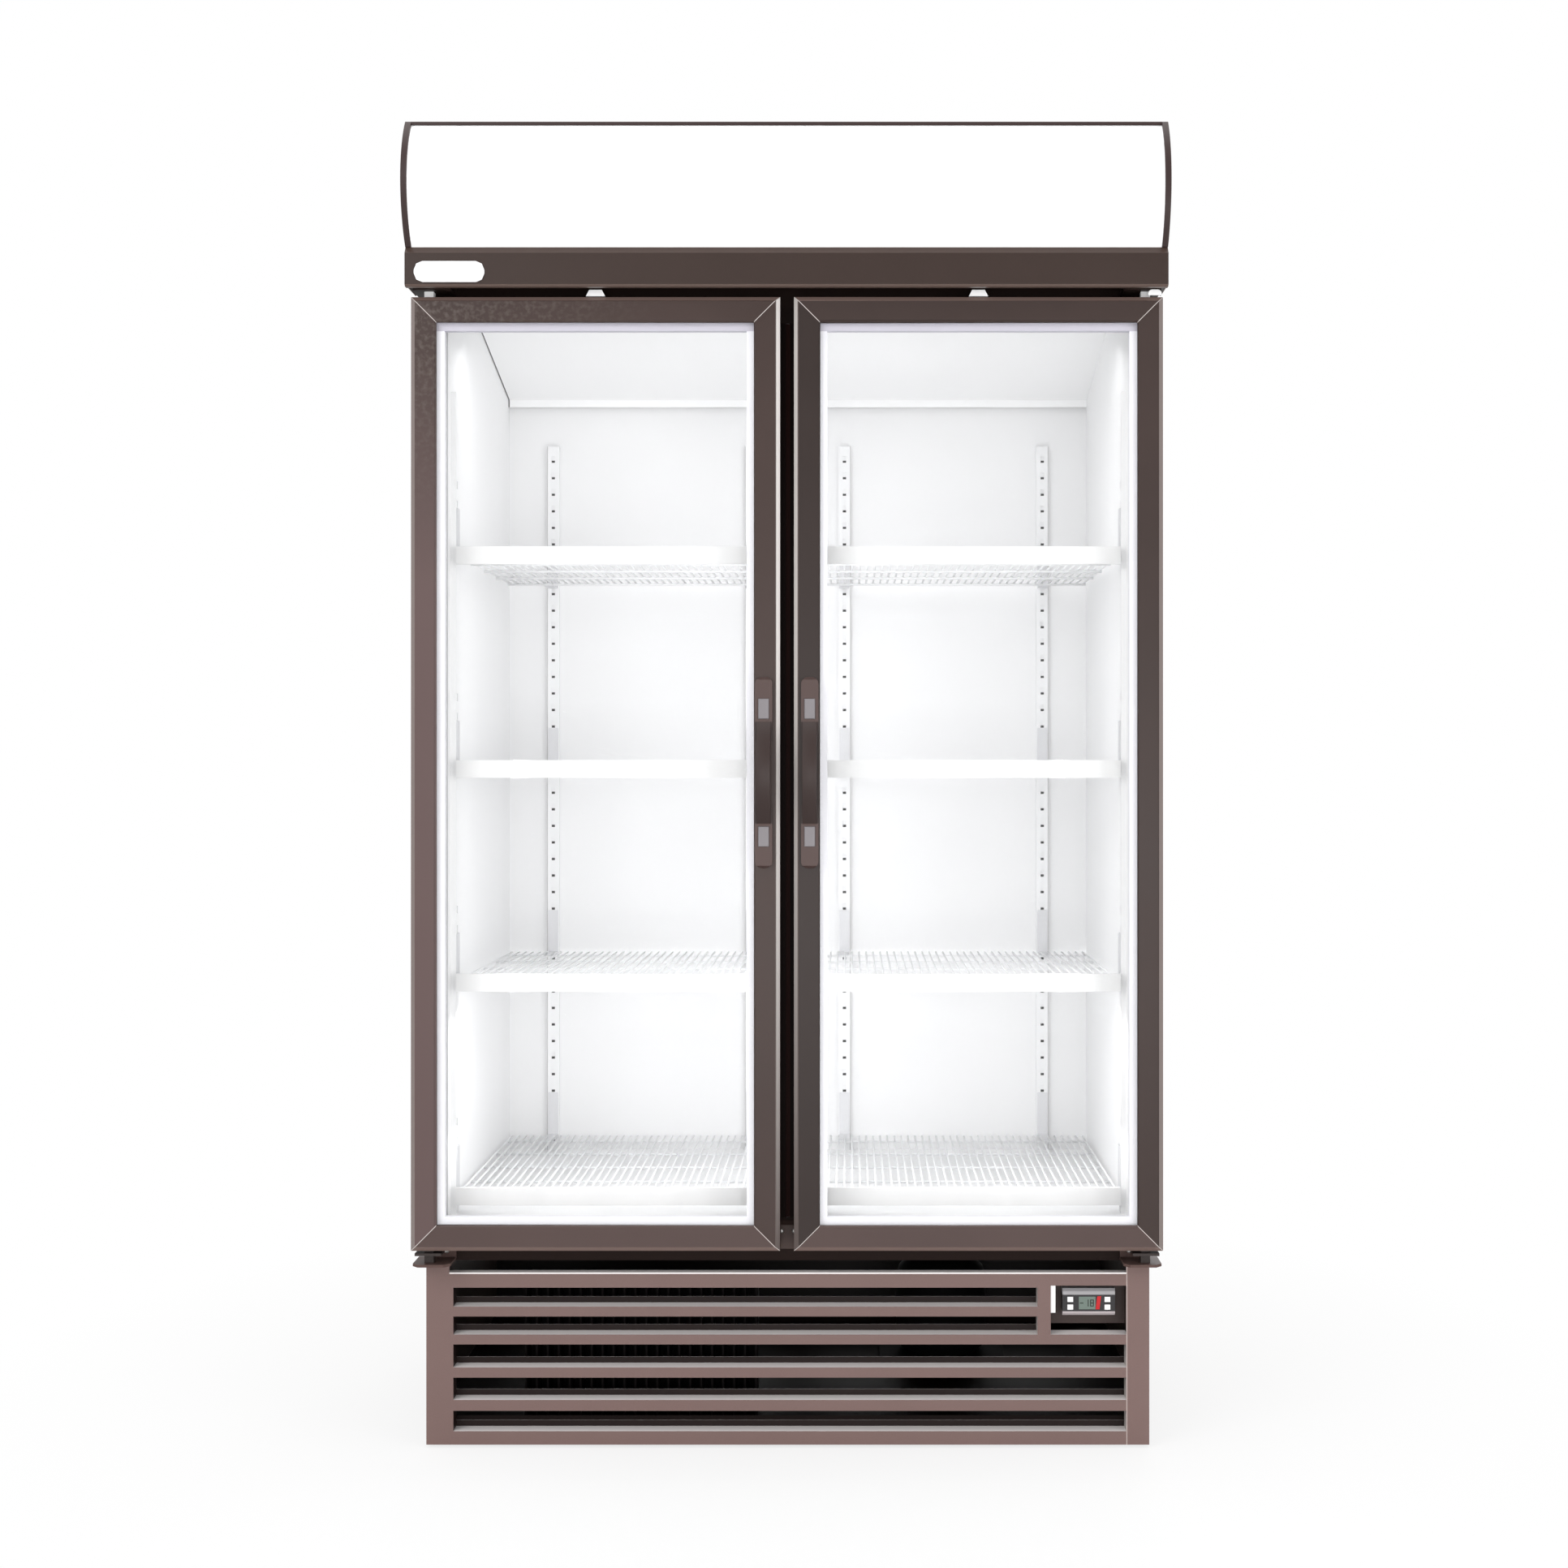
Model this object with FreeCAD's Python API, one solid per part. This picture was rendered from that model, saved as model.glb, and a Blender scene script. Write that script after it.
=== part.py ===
import FreeCAD, Part
import math
import os

# Two-door upright display freezer. Millimetres, X to the right, Y to the back, Z up.
# The origin is on the floor, under the middle of the whole cabinet.

# Insulated body
body_width = 1104.0
body_depth = 597.0
body_height = 1643.0
skin = 1.2
side_wall = 32.0
back_wall = 47.0
floor_wall = 66.0
roof_wall = 55.0
opening_height = 1366.0
lintel_depth = 45.0
mullion_width = 80.0
mullion_chamfer = 2.0
mullion_groove_width = 6.0
mullion_groove_depth = 3.0
mullion_foot_width = 35.0
mullion_foot_drop = 5.0
mullion_foot_height = 41.0
mullion_foot_depth = 10.0

# Base under the body
floor_gap = 5.0
base_height = 277.0
foot_height = 22.0
foot_radius = 22.0
foot_sides = 12
foot_pad_height = 9.0
foot_stud_radius = 8.0
foot_inset_x = 60.0
foot_inset_y = 70.0
pan_rim = 18.0
rear_slot_height = 12.0
rear_slot_pitch = 26.0
rear_slot_margin = 60.0
rear_slot_rise = 110.0
cord_hole_radius = 11.0
hole_sides = 24

# Doors
door_side_overlap = 13.0
door_height = 1433.0
door_thickness = 48.0
door_gap = 21.0
door_lift = 27.0
seal_gap = 12.0
frame_face = 39.0
frame_bevel = 7.0
frame_rear_chamfer = 5.0
frame_inner_chamfer = 2.0
frame_lip = 6.0
frame_pocket = 11.0
pane_thickness = 4.0
pane_space = 12.0
spacer_show = 11.0
gasket_width = 17.0
gasket_edge_inset = 10.0
gasket_waist = 9.0
fit_clearance = 0.3
running_clearance = 0.05

# Handles
handle_length = 287.0
handle_width = 26.0
handle_edge_inset = 11.0
handle_rise = 575.0
handle_pad = 9.0
handle_pad_length = 66.0
handle_bow = 36.0
handle_grip = 15.0
handle_gap_start = 82.0
handle_end_radius = 11.0
handle_waist = 2.5
handle_cap_width = 16.0
handle_cap_height = 30.0
handle_cap_thickness = 3.0
handle_cap_recess = 1.5
handle_cap_start = 33.0

# Hinges
hinge_inset = 25.0
hinge_setback = 24.0
hinge_plate_inner = 33.0
hinge_plate_outer = 24.0
hinge_plate_thickness = 4.0
hinge_plate_front = 18.0
hinge_flange_height = 17.0
hinge_plate_corner = 9.0
hinge_pin_radius = 5.0
hinge_pin_end_gap = 3.0
bush_width = 14.0
bush_reach = 17.0
bush_flange_half_x = 20.0
bush_flange_half_y = 15.0
bush_flange_thickness = 4.0
bush_flange_drop = 4.5
lower_plate_lift = 2.0

# Header and canopy
header_overhang = 18.0
header_height = 60.0
header_gap = 11.0
header_lead = 15.0
header_gauge = 2.0
header_ledge = 10.0
header_ledge_run = 7.0
header_return = 12.0
header_edge = 3.0
canopy_height = 187.0
canopy_rise = 28.0
canopy_reach = 60.0
canopy_lip = 5.0
cap_width = 9.0
cap_proud = 2.0
sign_thickness = 3.0
lamp_radius = 13.0
lamp_holder_width = 20.0
lamp_holder_reach = 48.0
lamp_holder_height = 36.0
lamp_holder_inset = 22.0
lamp_drop = 30.0
switch_width = 29.0
switch_taper = 5.0
switch_reach = 53.0
switch_gap = 1.5

# Front grille and controller
grille_lead = 15.0
grille_margin = 2.0
grille_post = 35.0
grille_top = 262.0
grille_post_rise = 13.0
grille_slot_inset = 41.0
grille_bar_depth = 25.0
grille_upstand = 9.0
grille_top_bar = 23.0
slot_heights = (29.0, 27.5, 35.0, 34.0, 31.0)
slot_bars = (15.0, 15.0, 15.5, 16.5)
short_slots = 2
window_width = 115.0
window_gap = 20.0
window_raise = 3.0
bracket_depth = 30.0
controller_width = 80.0
controller_height = 41.0
controller_depth = 22.0
controller_bevel = 4.0
controller_side_gap = 19.0
controller_top_gap = 7.0
button_width = 8.6
button_height = 7.6
button_proud = 1.5
button_length = 5.0
button_travel = 1.0
button_overrun = 0.5
button_pitch_x = 56.6
button_pitch_z = 11.7
button_drop = 1.5
display_width = 26.0
display_height = 20.0
display_recess = 0.8
display_shift = 2.4

# Shelving
first_shelf_top = 43.0
slot_pitch = 29.8
shelf_step_slots = 11
shelf_levels = 4
shelf_front_setback = 8.0
shelf_rear_gap = 43.0
wire = 4.0
wire_pitch = 25.2
shelf_rods = 4
shelf_rod_front = 60.0
shelf_rod_rear = 40.0
strip_height = 27.0
strip_gauge = 1.5
strip_return = 8.0
deck_drop = 10.0
upright_width = 22.0
upright_depth = 8.0
mullion_upright_depth = 4.0
upright_gauge = 1.5
upright_slot_width = 6.0
upright_slot_height = 12.0
upright_top_gap = 256.0
rear_upright_mullion_gap = 44.0
rear_upright_wall_gap = 80.0
front_upright_setback = 32.0
clip_gauge = 2.0
clip_width = 18.0
clip_rise = 65.0
clip_foot = 24.0

# Evaporator under the ceiling
cover_gauge = 1.5
cover_slope = 13.5
cover_rear_height = 173.0
cover_rear_lip = 13.0
cover_air_slot = 12.0
cover_front_setback = 52.0
fan_spacing = 500.0
fan_from_front = 92.0
cover_hole_radius = 76.0
cover_fan_radius = 71.0
cover_hub_radius = 20.0
cover_fan_depth = 18.0
motor_size = 50.0
motor_corner = 10.0
motor_height = 34.0
motor_shaft_radius = 4.0
strap_width = 26.0
strap_rise = 22.0
coil_wall_gap = 80.0
coil_run = 150.0
coil_height = 78.0
coil_from_rear = 28.0
coil_fins = 16
coil_fin = 3.0
coil_spine = 8.0
interior_lamp_width = 24.0
interior_lamp_depth = 12.0
interior_lamp_margin = 60.0

# Refrigeration unit in the base
compressor_radius = 78.0
compressor_height = 165.0
compressor_shoulder = 30.0
compressor_sides = 24
compressor_x = 250.0
compressor_y = 130.0
compressor_plate_width = 210.0
compressor_plate_depth = 150.0
compressor_plate = 3.0
grommet_radius = 11.0
grommet_height = 12.0
grommet_inset = 20.0
condenser_x = -230.0
condenser_setback = 45.0
condenser_width = 360.0
condenser_height = 215.0
condenser_depth = 55.0
condenser_fins = 22
condenser_fin = 3.0
shroud_gauge = 1.5
shroud_rim = 22.0
condenser_fan_radius = 92.0
condenser_hole_gap = 5.0
condenser_hub_radius = 24.0
condenser_fan_depth = 24.0
fan_blades = 5
hub_sides = 10
blade_thickness = 2.5
blade_root_angle = 42.0
blade_tip_angle = 24.0

# Levels and planes that follow from the sizes above
total_depth = body_depth + seal_gap + door_thickness + header_lead + canopy_rise
crown_y = -total_depth / 2
header_y = crown_y + canopy_rise
door_y = header_y + header_lead
door_back_y = door_y + door_thickness
face_y = door_back_y + seal_gap
back_y = face_y + body_depth
body_z = floor_gap + base_height
roof_z = body_z + body_height
door_z = body_z + door_lift
door_top_z = door_z + door_height
header_z = door_top_z + header_gap
header_top_z = header_z + header_height
top_z = header_top_z + canopy_height
half_body = body_width / 2
half_case = half_body - skin
half_room = half_body - side_wall
half_header = half_body + header_overhang
half_mullion = mullion_width / 2
room_back_y = back_y - back_wall
room_z = body_z + floor_wall
room_top_z = roof_z - roof_wall
lintel_z = room_z + opening_height
lintel_y = face_y + lintel_depth
door_outer = half_body + door_side_overlap
hinge_x = door_outer - hinge_inset
hinge_y = door_y + hinge_setback
glazing = 2 * pane_thickness + pane_space
pan_z = foot_height
pan_top_z = pan_z + skin
grille_y = face_y - grille_lead
half_grille = half_body - grille_margin
lower_plate_z = body_z + lower_plate_lift
lower_plate_top = lower_plate_z + hinge_plate_thickness
SIDES = (-1, 1)


def box(x0, x1, y0, y1, z0, z1):
    """Solid block between two corners, in whichever order the X limits come."""
    corner = FreeCAD.Vector(min(x0, x1), min(y0, y1), min(z0, z1))
    return Part.makeBox(abs(x1 - x0), abs(y1 - y0), abs(z1 - z0), corner)


def outline(points):
    """Flat face inside a closed outline of straight edges."""
    vectors = [FreeCAD.Vector(*p) for p in points]
    return Part.Face(Part.makePolygon(vectors + vectors[:1]))


def along_x(points, x0, x1):
    """Outline of (y, z) points drawn out from x0 to x1."""
    face = outline([(x0, y, z) for y, z in points])
    return face.extrude(FreeCAD.Vector(x1 - x0, 0, 0))


def along_y(points, y0, y1):
    """Outline of (x, z) points drawn out from y0 to y1."""
    face = outline([(x, y0, z) for x, z in points])
    return face.extrude(FreeCAD.Vector(0, y1 - y0, 0))


def along_z(points, z0, z1):
    """Outline of (x, y) points drawn out from z0 to z1."""
    face = outline([(x, y, z0) for x, y in points])
    return face.extrude(FreeCAD.Vector(0, 0, z1 - z0))


def rod(x, y, z0, z1, radius):
    """Upright round bar from z0 to z1."""
    return Part.makeCylinder(radius, z1 - z0, FreeCAD.Vector(x, y, z0))


def regular_corners(a, b, radius, sides):
    """Corners of a regular outline round a point."""
    corners = []
    for i in range(sides):
        turn = 2 * math.pi * (i + 0.5) / sides
        corners.append((a + radius * math.cos(turn), b + radius * math.sin(turn)))
    return corners


def nut(x, y, z0, z1, radius, sides=6):
    """Upright bar of regular section, measured to its corners."""
    return along_z(regular_corners(x, y, radius, sides), z0, z1)


def folded(path, gauge):
    """Outline of a sheet of one gauge folded along a path, thickened to the path's left."""
    normals = []
    for (a0, b0), (a1, b1) in zip(path, path[1:]):
        length = math.hypot(a1 - a0, b1 - b0)
        normals.append(((b0 - b1) / length, (a1 - a0) / length))
    inner = []
    for i, (a, b) in enumerate(path):
        na, nb = normals[max(i - 1, 0)]
        ma, mb = normals[min(i, len(normals) - 1)]
        share = gauge / (1 + na * ma + nb * mb)
        inner.append((a + (na + ma) * share, b + (nb + mb) * share))
    return list(path) + inner[::-1]


def ring(x0, x1, z0, z1, widths, y0, y1):
    """Rectangular hoop; widths are its left, right and top-and-bottom bands."""
    left, right, ends = widths
    hole = box(x0 + left, x1 - right, y0 - 1, y1 + 1, z0 + ends, z1 - ends)
    return box(x0, x1, y0, y1, z0, z1).cut(hole)


def mirrored(solids, side):
    """The solids as drawn for the right-hand side, or turned over to the left."""
    if side > 0:
        return solids
    plane = (FreeCAD.Vector(0, 0, 0), FreeCAD.Vector(1, 0, 0))
    return [s.mirror(*plane) for s in solids]


def both(solids):
    """The solids on the right-hand side and their mirror images on the left."""
    return mirrored(solids, -1) + solids


def export(name, solids):
    """Write one node from its separate solids."""
    Part.makeCompound(solids).exportStep("parts/" + name + ".step")


def outer_case():
    """Steel wrap of both sides, roof and underside, open at front and back."""
    wrap = box(-half_body, half_body, face_y + skin, back_y - skin, body_z, roof_z)
    inside = box(-half_case, half_case, face_y, back_y, body_z + skin, roof_z - skin)
    return [wrap.cut(inside)]


def foam_core():
    """Insulation between case and liner: sides, back, floor, roof and lintel slabs."""
    liner_x = half_room + skin
    front = face_y + skin
    back = back_y - skin
    liner_back = room_back_y + skin
    low = body_z + skin
    high = roof_z - skin
    ceiling = room_top_z + skin
    sides = both([box(liner_x, half_case, front, back, low, high)])
    rear = box(-liner_x, liner_x, liner_back, back, low, high)
    floor = box(-liner_x, liner_x, front, liner_back, low, room_z - skin)
    roof = box(-liner_x, liner_x, front, liner_back, ceiling, high)
    lintel = box(-liner_x, liner_x, front, lintel_y - skin, lintel_z + skin, ceiling)
    return sides + [rear, floor, roof, lintel]


def inner_liner():
    """White sheet tank, folded down behind the lintel over the door opening."""

    def tank(grow, front):
        return along_x(
            [
                (front, room_z - grow),
                (room_back_y + grow, room_z - grow),
                (room_back_y + grow, room_top_z + grow),
                (lintel_y - grow, room_top_z + grow),
                (lintel_y - grow, lintel_z + grow),
                (front, lintel_z + grow),
            ],
            -half_room - grow,
            half_room + grow,
        )

    return [tank(skin, face_y + skin).cut(tank(0, face_y))]


def face_frame():
    """Front face of the cabinet round the door opening, where the gaskets seal."""
    plate = box(-half_body, half_body, face_y, face_y + skin, body_z, roof_z)
    return [plate.cut(box(-half_room, half_room, face_y - 1, face_y + 2 * skin, room_z, lintel_z))]


def centre_mullion():
    """Upright post between the doors, with eased front edges and a shallow centre groove."""
    groove = mullion_groove_width / 2
    right = [
        (groove, face_y + mullion_groove_depth),
        (groove, face_y),
        (half_mullion - mullion_chamfer, face_y),
        (half_mullion, face_y + mullion_chamfer),
        (half_mullion, lintel_y),
    ]
    left = [(-x, y) for x, y in reversed(right)]
    return [along_z(right + left, room_z, lintel_z)]


def mullion_foot():
    """Small stop block on the face frame under the mullion, with a sloped top."""
    half = mullion_foot_width / 2
    top = room_z - mullion_foot_drop
    front = face_y - mullion_foot_depth
    profile = [
        (face_y, top - mullion_foot_height),
        (front, top - mullion_foot_height),
        (front, top - mullion_foot_depth / 2),
        (face_y, top),
    ]
    return [along_x(profile, -half, half)]


def interior_lamp():
    """Light bar with a chamfered lens on the back of the mullion."""
    half = interior_lamp_width / 2
    step = interior_lamp_depth / 2
    profile = [
        (-half, lintel_y),
        (half, lintel_y),
        (half, lintel_y + step),
        (half - step, lintel_y + interior_lamp_depth),
        (step - half, lintel_y + interior_lamp_depth),
        (-half, lintel_y + step),
    ]
    return [along_z(profile, room_z + interior_lamp_margin, lintel_z - interior_lamp_margin)]


def header_rail():
    """Folded front rail over the doors: bottom return, face, sloped ledge and top web."""
    path = [
        (face_y, header_top_z),
        (header_y + header_ledge_run, header_top_z),
        (header_y, header_top_z - header_ledge),
        (header_y, header_z + header_edge),
        (header_y + header_edge, header_z),
        (header_y + header_return, header_z),
    ]
    rail = along_x(folded(path, header_gauge), -half_header, half_header)
    closed = path[:-1] + [(face_y, header_z)]
    ends = both([along_x(closed, half_header - header_gauge, half_header)])
    notch = box(-half_header, half_header, header_y + header_return, face_y, header_z, header_z + header_edge)
    return [rail.multiFuse([end.cut(notch) for end in ends])]


def curved_front(bottom_y, crown, bottom, top):
    """Arc edge in the (y, z) plane at x = 0 that bulges forward to its crown."""
    return Part.Arc(
        FreeCAD.Vector(0, bottom_y, bottom),
        FreeCAD.Vector(0, crown, (bottom + top) / 2),
        FreeCAD.Vector(0, bottom_y, top),
    ).toShape()


def straight(start, end):
    """Straight edge in the (y, z) plane at x = 0."""
    return Part.makeLine(FreeCAD.Vector(0, *start), FreeCAD.Vector(0, *end))


def span(edges, x0, x1):
    """Closed run of edges in the (y, z) plane, drawn out from x0 to x1."""
    face = Part.Face(Part.Wire(Part.__sortEdges__(edges)))
    face.translate(FreeCAD.Vector(x0, 0, 0))
    return face.extrude(FreeCAD.Vector(x1 - x0, 0, 0))


def sign_panel():
    """Curved translucent front of the light box, seated on the header's ledge."""
    low = header_top_z
    high = top_z - canopy_lip
    crown = crown_y + cap_proud
    edges = [
        curved_front(header_y + header_ledge_run, crown, low, high),
        curved_front(header_y + header_ledge_run + sign_thickness, crown + sign_thickness, low, high),
    ]
    for level in (low, high):
        front = header_y + header_ledge_run
        edges.append(straight((front, level), (front + sign_thickness, level)))
    reach = half_header - cap_width
    return [span(edges, -reach, reach)]


def canopy_end_caps():
    """Brown end plates of the light box, a little proud of the sign."""
    rear = face_y + canopy_reach
    front = header_y + header_ledge_run - cap_proud
    edges = [
        curved_front(front, crown_y, header_top_z, top_z),
        straight((front, top_z), (rear, top_z)),
        straight((rear, top_z), (rear, header_top_z)),
        straight((rear, header_top_z), (front, header_top_z)),
    ]
    return both([span(edges, half_header - cap_width, half_header)])


def canopy_cover():
    """Folded sheet over the light box: front lip, top and back down to the roof."""
    rear = face_y + canopy_reach
    front = header_y + header_ledge_run - cap_proud
    path = [
        (rear, roof_z),
        (rear, top_z),
        (front, top_z),
        (front, top_z - canopy_lip),
    ]
    reach = half_header - cap_width
    return [along_x(folded(path, skin), -reach, reach)]


def canopy_lamp():
    """Light tube behind the sign and the two holders that carry it on the face frame."""
    lamp_z = roof_z - lamp_drop
    lamp_y = face_y - lamp_holder_reach + lamp_radius + header_gauge
    end = half_body - lamp_holder_inset
    half_height = lamp_holder_height / 2
    holder = box(
        end - lamp_holder_width, end, face_y - lamp_holder_reach, face_y,
        lamp_z - half_height, lamp_z + half_height,
    )
    start = FreeCAD.Vector(lamp_holder_width - end, lamp_y, lamp_z)
    length = 2 * (end - lamp_holder_width)
    tube = Part.makeCylinder(lamp_radius, length, start, FreeCAD.Vector(1, 0, 0))
    return both([holder]) + [tube]


def frame_section():
    """Door extrusion as (across, depth) points: bevelled face, glazing channel, rear leg."""
    channel = frame_face - frame_pocket
    rear_lip = frame_lip + glazing + 2 * fit_clearance
    inner = frame_face - frame_inner_chamfer
    return [
        (0, frame_bevel),
        (frame_bevel, 0),
        (inner, 0),
        (frame_face, frame_inner_chamfer),
        (frame_face, frame_lip),
        (channel, frame_lip),
        (channel, rear_lip),
        (inner, rear_lip),
        (inner, door_thickness),
        (frame_rear_chamfer, door_thickness),
        (0, door_thickness - frame_rear_chamfer),
    ]


def bush_block(low, high, grow):
    """Square block on the right-hand door's hinge axis: a bush, or with a clearance its seat."""
    half = bush_width / 2 + grow
    return box(hinge_x - half, hinge_x + half, hinge_y - half, hinge_y + half, low, high)


def door_frame():
    """Two stiles and two rails of one extrusion, mitred at the corners, with seats for the bushes."""
    x0 = door_gap / 2
    x1 = door_outer
    z0 = door_z
    z1 = door_top_z
    section = frame_section()
    f = frame_face
    rail = [(x0, z0), (x1, z0), (x1 - f, z0 + f), (x0 + f, z0 + f)]
    stile = [(x0, z0), (x0 + f, z0 + f), (x0 + f, z1 - f), (x0, z1)]
    bars = [
        (along_x([(door_y + v, z0 + u) for u, v in section], x0, x1), rail),
        (along_x([(door_y + v, z1 - u) for u, v in section], x0, x1), [(x, z0 + z1 - z) for x, z in rail]),
        (along_z([(x0 + u, door_y + v) for u, v in section], z0, z1), stile),
        (along_z([(x1 - u, door_y + v) for u, v in section], z0, z1), [(x0 + x1 - x, z) for x, z in stile]),
    ]
    reach = bush_reach + running_clearance
    seats = [
        bush_block(z0 - 1, z0 + reach, running_clearance),
        bush_block(z1 - reach, z1 + 1, running_clearance),
    ]
    members = []
    for bar, mitre in bars:
        wedge = along_y(mitre, door_y - 1, door_back_y + 1)
        members.append(bar.common(wedge).cut(Part.makeCompound(seats)).Solids[0])
    return members


def pane_edge():
    """How far the glass stands in from the door's outer edge."""
    return frame_face - frame_pocket + fit_clearance


def door_panes():
    """Front and rear panes of the sealed glazing unit."""
    edge = pane_edge()
    front = door_y + frame_lip + fit_clearance
    panes = []
    for y in (front, front + pane_thickness + pane_space):
        rear = y + pane_thickness
        panes.append(box(door_gap / 2 + edge, door_outer - edge, y, rear, door_z + edge, door_top_z - edge))
    return panes


def door_spacer():
    """Hollow-looking spacer bar that holds the panes apart and shows inside the frame."""
    edge = pane_edge()
    band = frame_pocket - fit_clearance + spacer_show
    y0 = door_y + frame_lip + fit_clearance + pane_thickness
    hoop = ring(
        door_gap / 2 + edge, door_outer - edge, door_z + edge, door_top_z - edge,
        (band, band, band), y0, y0 + pane_space,
    )
    return [hoop]


def door_gasket():
    """Bellows seal behind the door: base strip, narrow waist and magnet strip in one moulding."""
    x0 = door_gap / 2 + gasket_edge_inset
    x1 = hinge_x - fit_clearance
    z0 = door_z + gasket_edge_inset
    z1 = door_top_z - gasket_edge_inset
    height = seal_gap - fit_clearance
    layer = height / 3
    slim = (gasket_width - gasket_waist) / 2
    wide = (gasket_width,) * 3
    narrow = (gasket_waist,) * 3
    y0 = door_back_y
    layers = [
        ring(x0, x1, z0, z1, wide, y0, y0 + layer),
        ring(x0 + slim, x1 - slim, z0 + slim, z1 - slim, narrow, y0 + layer, y0 + 2 * layer),
        ring(x0, x1, z0, z1, wide, y0 + 2 * layer, y0 + height),
    ]
    return [layers[0].multiFuse(layers[1:]).removeSplitter().Solids[0]]


def bowed(start, crown, end, x):
    """Arc in a plane of constant x through three (y, z) points."""
    return Part.Arc(*[FreeCAD.Vector(x, y, z) for y, z in (start, crown, end)]).toShape()


def handle_x():
    """Inner edge of the handle on the right-hand door."""
    return door_gap / 2 + handle_edge_inset


def door_handle():
    """Moulded bow handle: flat screw pads, a bowed grip and a finger gap behind it."""
    x0 = handle_x()
    z0 = door_z + handle_rise
    z1 = z0 + handle_length
    middle = (z0 + z1) / 2
    pad_y = door_y - handle_pad
    bow_y = door_y - handle_bow
    gap_y = bow_y + handle_grip
    ease = handle_pad / 2
    pads = (z0 + handle_pad_length, z1 - handle_pad_length)
    gaps = (z0 + handle_gap_start, z1 - handle_gap_start)

    def line(start, end):
        return Part.makeLine(FreeCAD.Vector(x0, *start), FreeCAD.Vector(x0, *end))

    edges = [
        line((door_y, z0), (pad_y, z0 + ease)),
        line((pad_y, z0 + ease), (pad_y, pads[0])),
        bowed((pad_y, pads[0]), (bow_y, middle), (pad_y, pads[1]), x0),
        line((pad_y, pads[1]), (pad_y, z1 - ease)),
        line((pad_y, z1 - ease), (door_y, z1)),
        line((door_y, z1), (door_y, gaps[1])),
        bowed((door_y, gaps[1]), (gap_y, middle), (door_y, gaps[0]), x0),
        line((door_y, gaps[0]), (door_y, z0)),
    ]
    side = Part.Face(Part.Wire(edges)).extrude(FreeCAD.Vector(handle_width, 0, 0))
    front = box(x0, x0 + handle_width, bow_y - 1, door_y, z0, z1)
    corners = [e for e in front.Edges if abs(e.Length - (door_y - bow_y + 1)) < 0.01]
    front = front.makeFillet(handle_end_radius, corners)
    body = side.common(front)
    for inner, outer in ((x0, x0 + handle_waist), (x0 + handle_width - handle_waist, x0 + handle_width)):
        body = body.cut(box(inner, outer, bow_y - 1, pad_y, *pads))
    for low in cap_levels():
        body = body.cut(cap_block(low, fit_clearance))
    return [body.Solids[0]]


def cap_levels():
    """Lower edges of the two screw caps on a handle."""
    z0 = door_z + handle_rise
    return (z0 + handle_cap_start, z0 + handle_length - handle_cap_start - handle_cap_height)


def cap_block(low, grow):
    """One screw cap, or with a clearance the pocket that it sits in."""
    x0 = handle_x() + (handle_width - handle_cap_width) / 2
    seat = door_y - handle_pad + handle_cap_recess
    return box(
        x0 - grow, x0 + handle_cap_width + grow, seat - handle_cap_thickness, seat,
        low - grow, low + handle_cap_height + grow,
    )


def handle_caps():
    """Square screw caps in the handle's pads, with chamfered fronts."""
    caps = []
    for low in cap_levels():
        cap = cap_block(low, 0)
        front = cap.BoundBox.YMin
        rim = [e for e in cap.Edges if abs(e.BoundBox.YMax - front) < 0.01]
        caps.append(cap.makeChamfer(handle_cap_recess / 2, rim))
    return caps


def hinge_bushes():
    """Square bushes pressed into the door's corners; the lower one has a broad flange under the door."""
    upper = bush_block(door_top_z - bush_reach, header_z - fit_clearance, 0)
    flange_top = door_z - bush_flange_drop
    flange = box(
        hinge_x - bush_flange_half_x, hinge_x + bush_flange_half_x,
        hinge_y - bush_flange_half_y, hinge_y + bush_flange_half_y,
        flange_top - bush_flange_thickness, flange_top,
    )
    lower = bush_block(lower_plate_top + fit_clearance, door_z + bush_reach, 0).fuse(flange)
    hole = rod(hinge_x, hinge_y, lower_plate_z, header_z, hinge_pin_radius + running_clearance)
    return [bush.cut(hole).Solids[0] for bush in (lower, upper)]


def hinge_bracket(plate_low, pin_low, pin_high):
    """Right-hand hinge angle: eased plate, flange on the face frame, and the pin riveted to it."""
    x0 = hinge_x - hinge_plate_inner
    x1 = hinge_x + hinge_plate_outer
    top = plate_low + hinge_plate_thickness
    front = hinge_y - hinge_plate_front
    c = hinge_plate_corner
    corners = [(x0, face_y), (x0, front + c), (x0 + c, front), (x1 - c, front), (x1, front + c), (x1, face_y)]
    plate = along_z(corners, plate_low, top)
    flange = box(x0, half_body, face_y - hinge_plate_thickness, face_y, top, top + hinge_flange_height)
    pin = rod(hinge_x, hinge_y, pin_low, pin_high, hinge_pin_radius)
    return plate.multiFuse([flange, pin]).removeSplitter().Solids[0]


def lower_hinge_plates():
    """Lower hinge angles with their pins standing up into the doors."""
    return both([hinge_bracket(lower_plate_z, lower_plate_top, door_z + bush_reach - hinge_pin_end_gap)])


def upper_hinge_plates():
    """Upper hinge angles with their pins hanging down into the doors."""
    return both([hinge_bracket(header_z, door_top_z - bush_reach + hinge_pin_end_gap, header_z)])


def door_switches():
    """Tapered white switch blocks on the face frame, over the middle of each door."""
    middle = (door_gap / 2 + door_outer) / 2
    half = switch_width / 2
    low = door_top_z + switch_gap
    profile = [
        (middle - half, low),
        (middle + half, low),
        (middle + half - switch_taper, header_z),
        (middle - half + switch_taper, header_z),
    ]
    return both([along_y(profile, face_y - switch_reach, face_y)])


def base_side_panels():
    """Painted skirts under the body, from the face frame to the back."""
    return both([box(half_case, half_body, face_y, back_y, floor_gap, body_z)])


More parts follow.
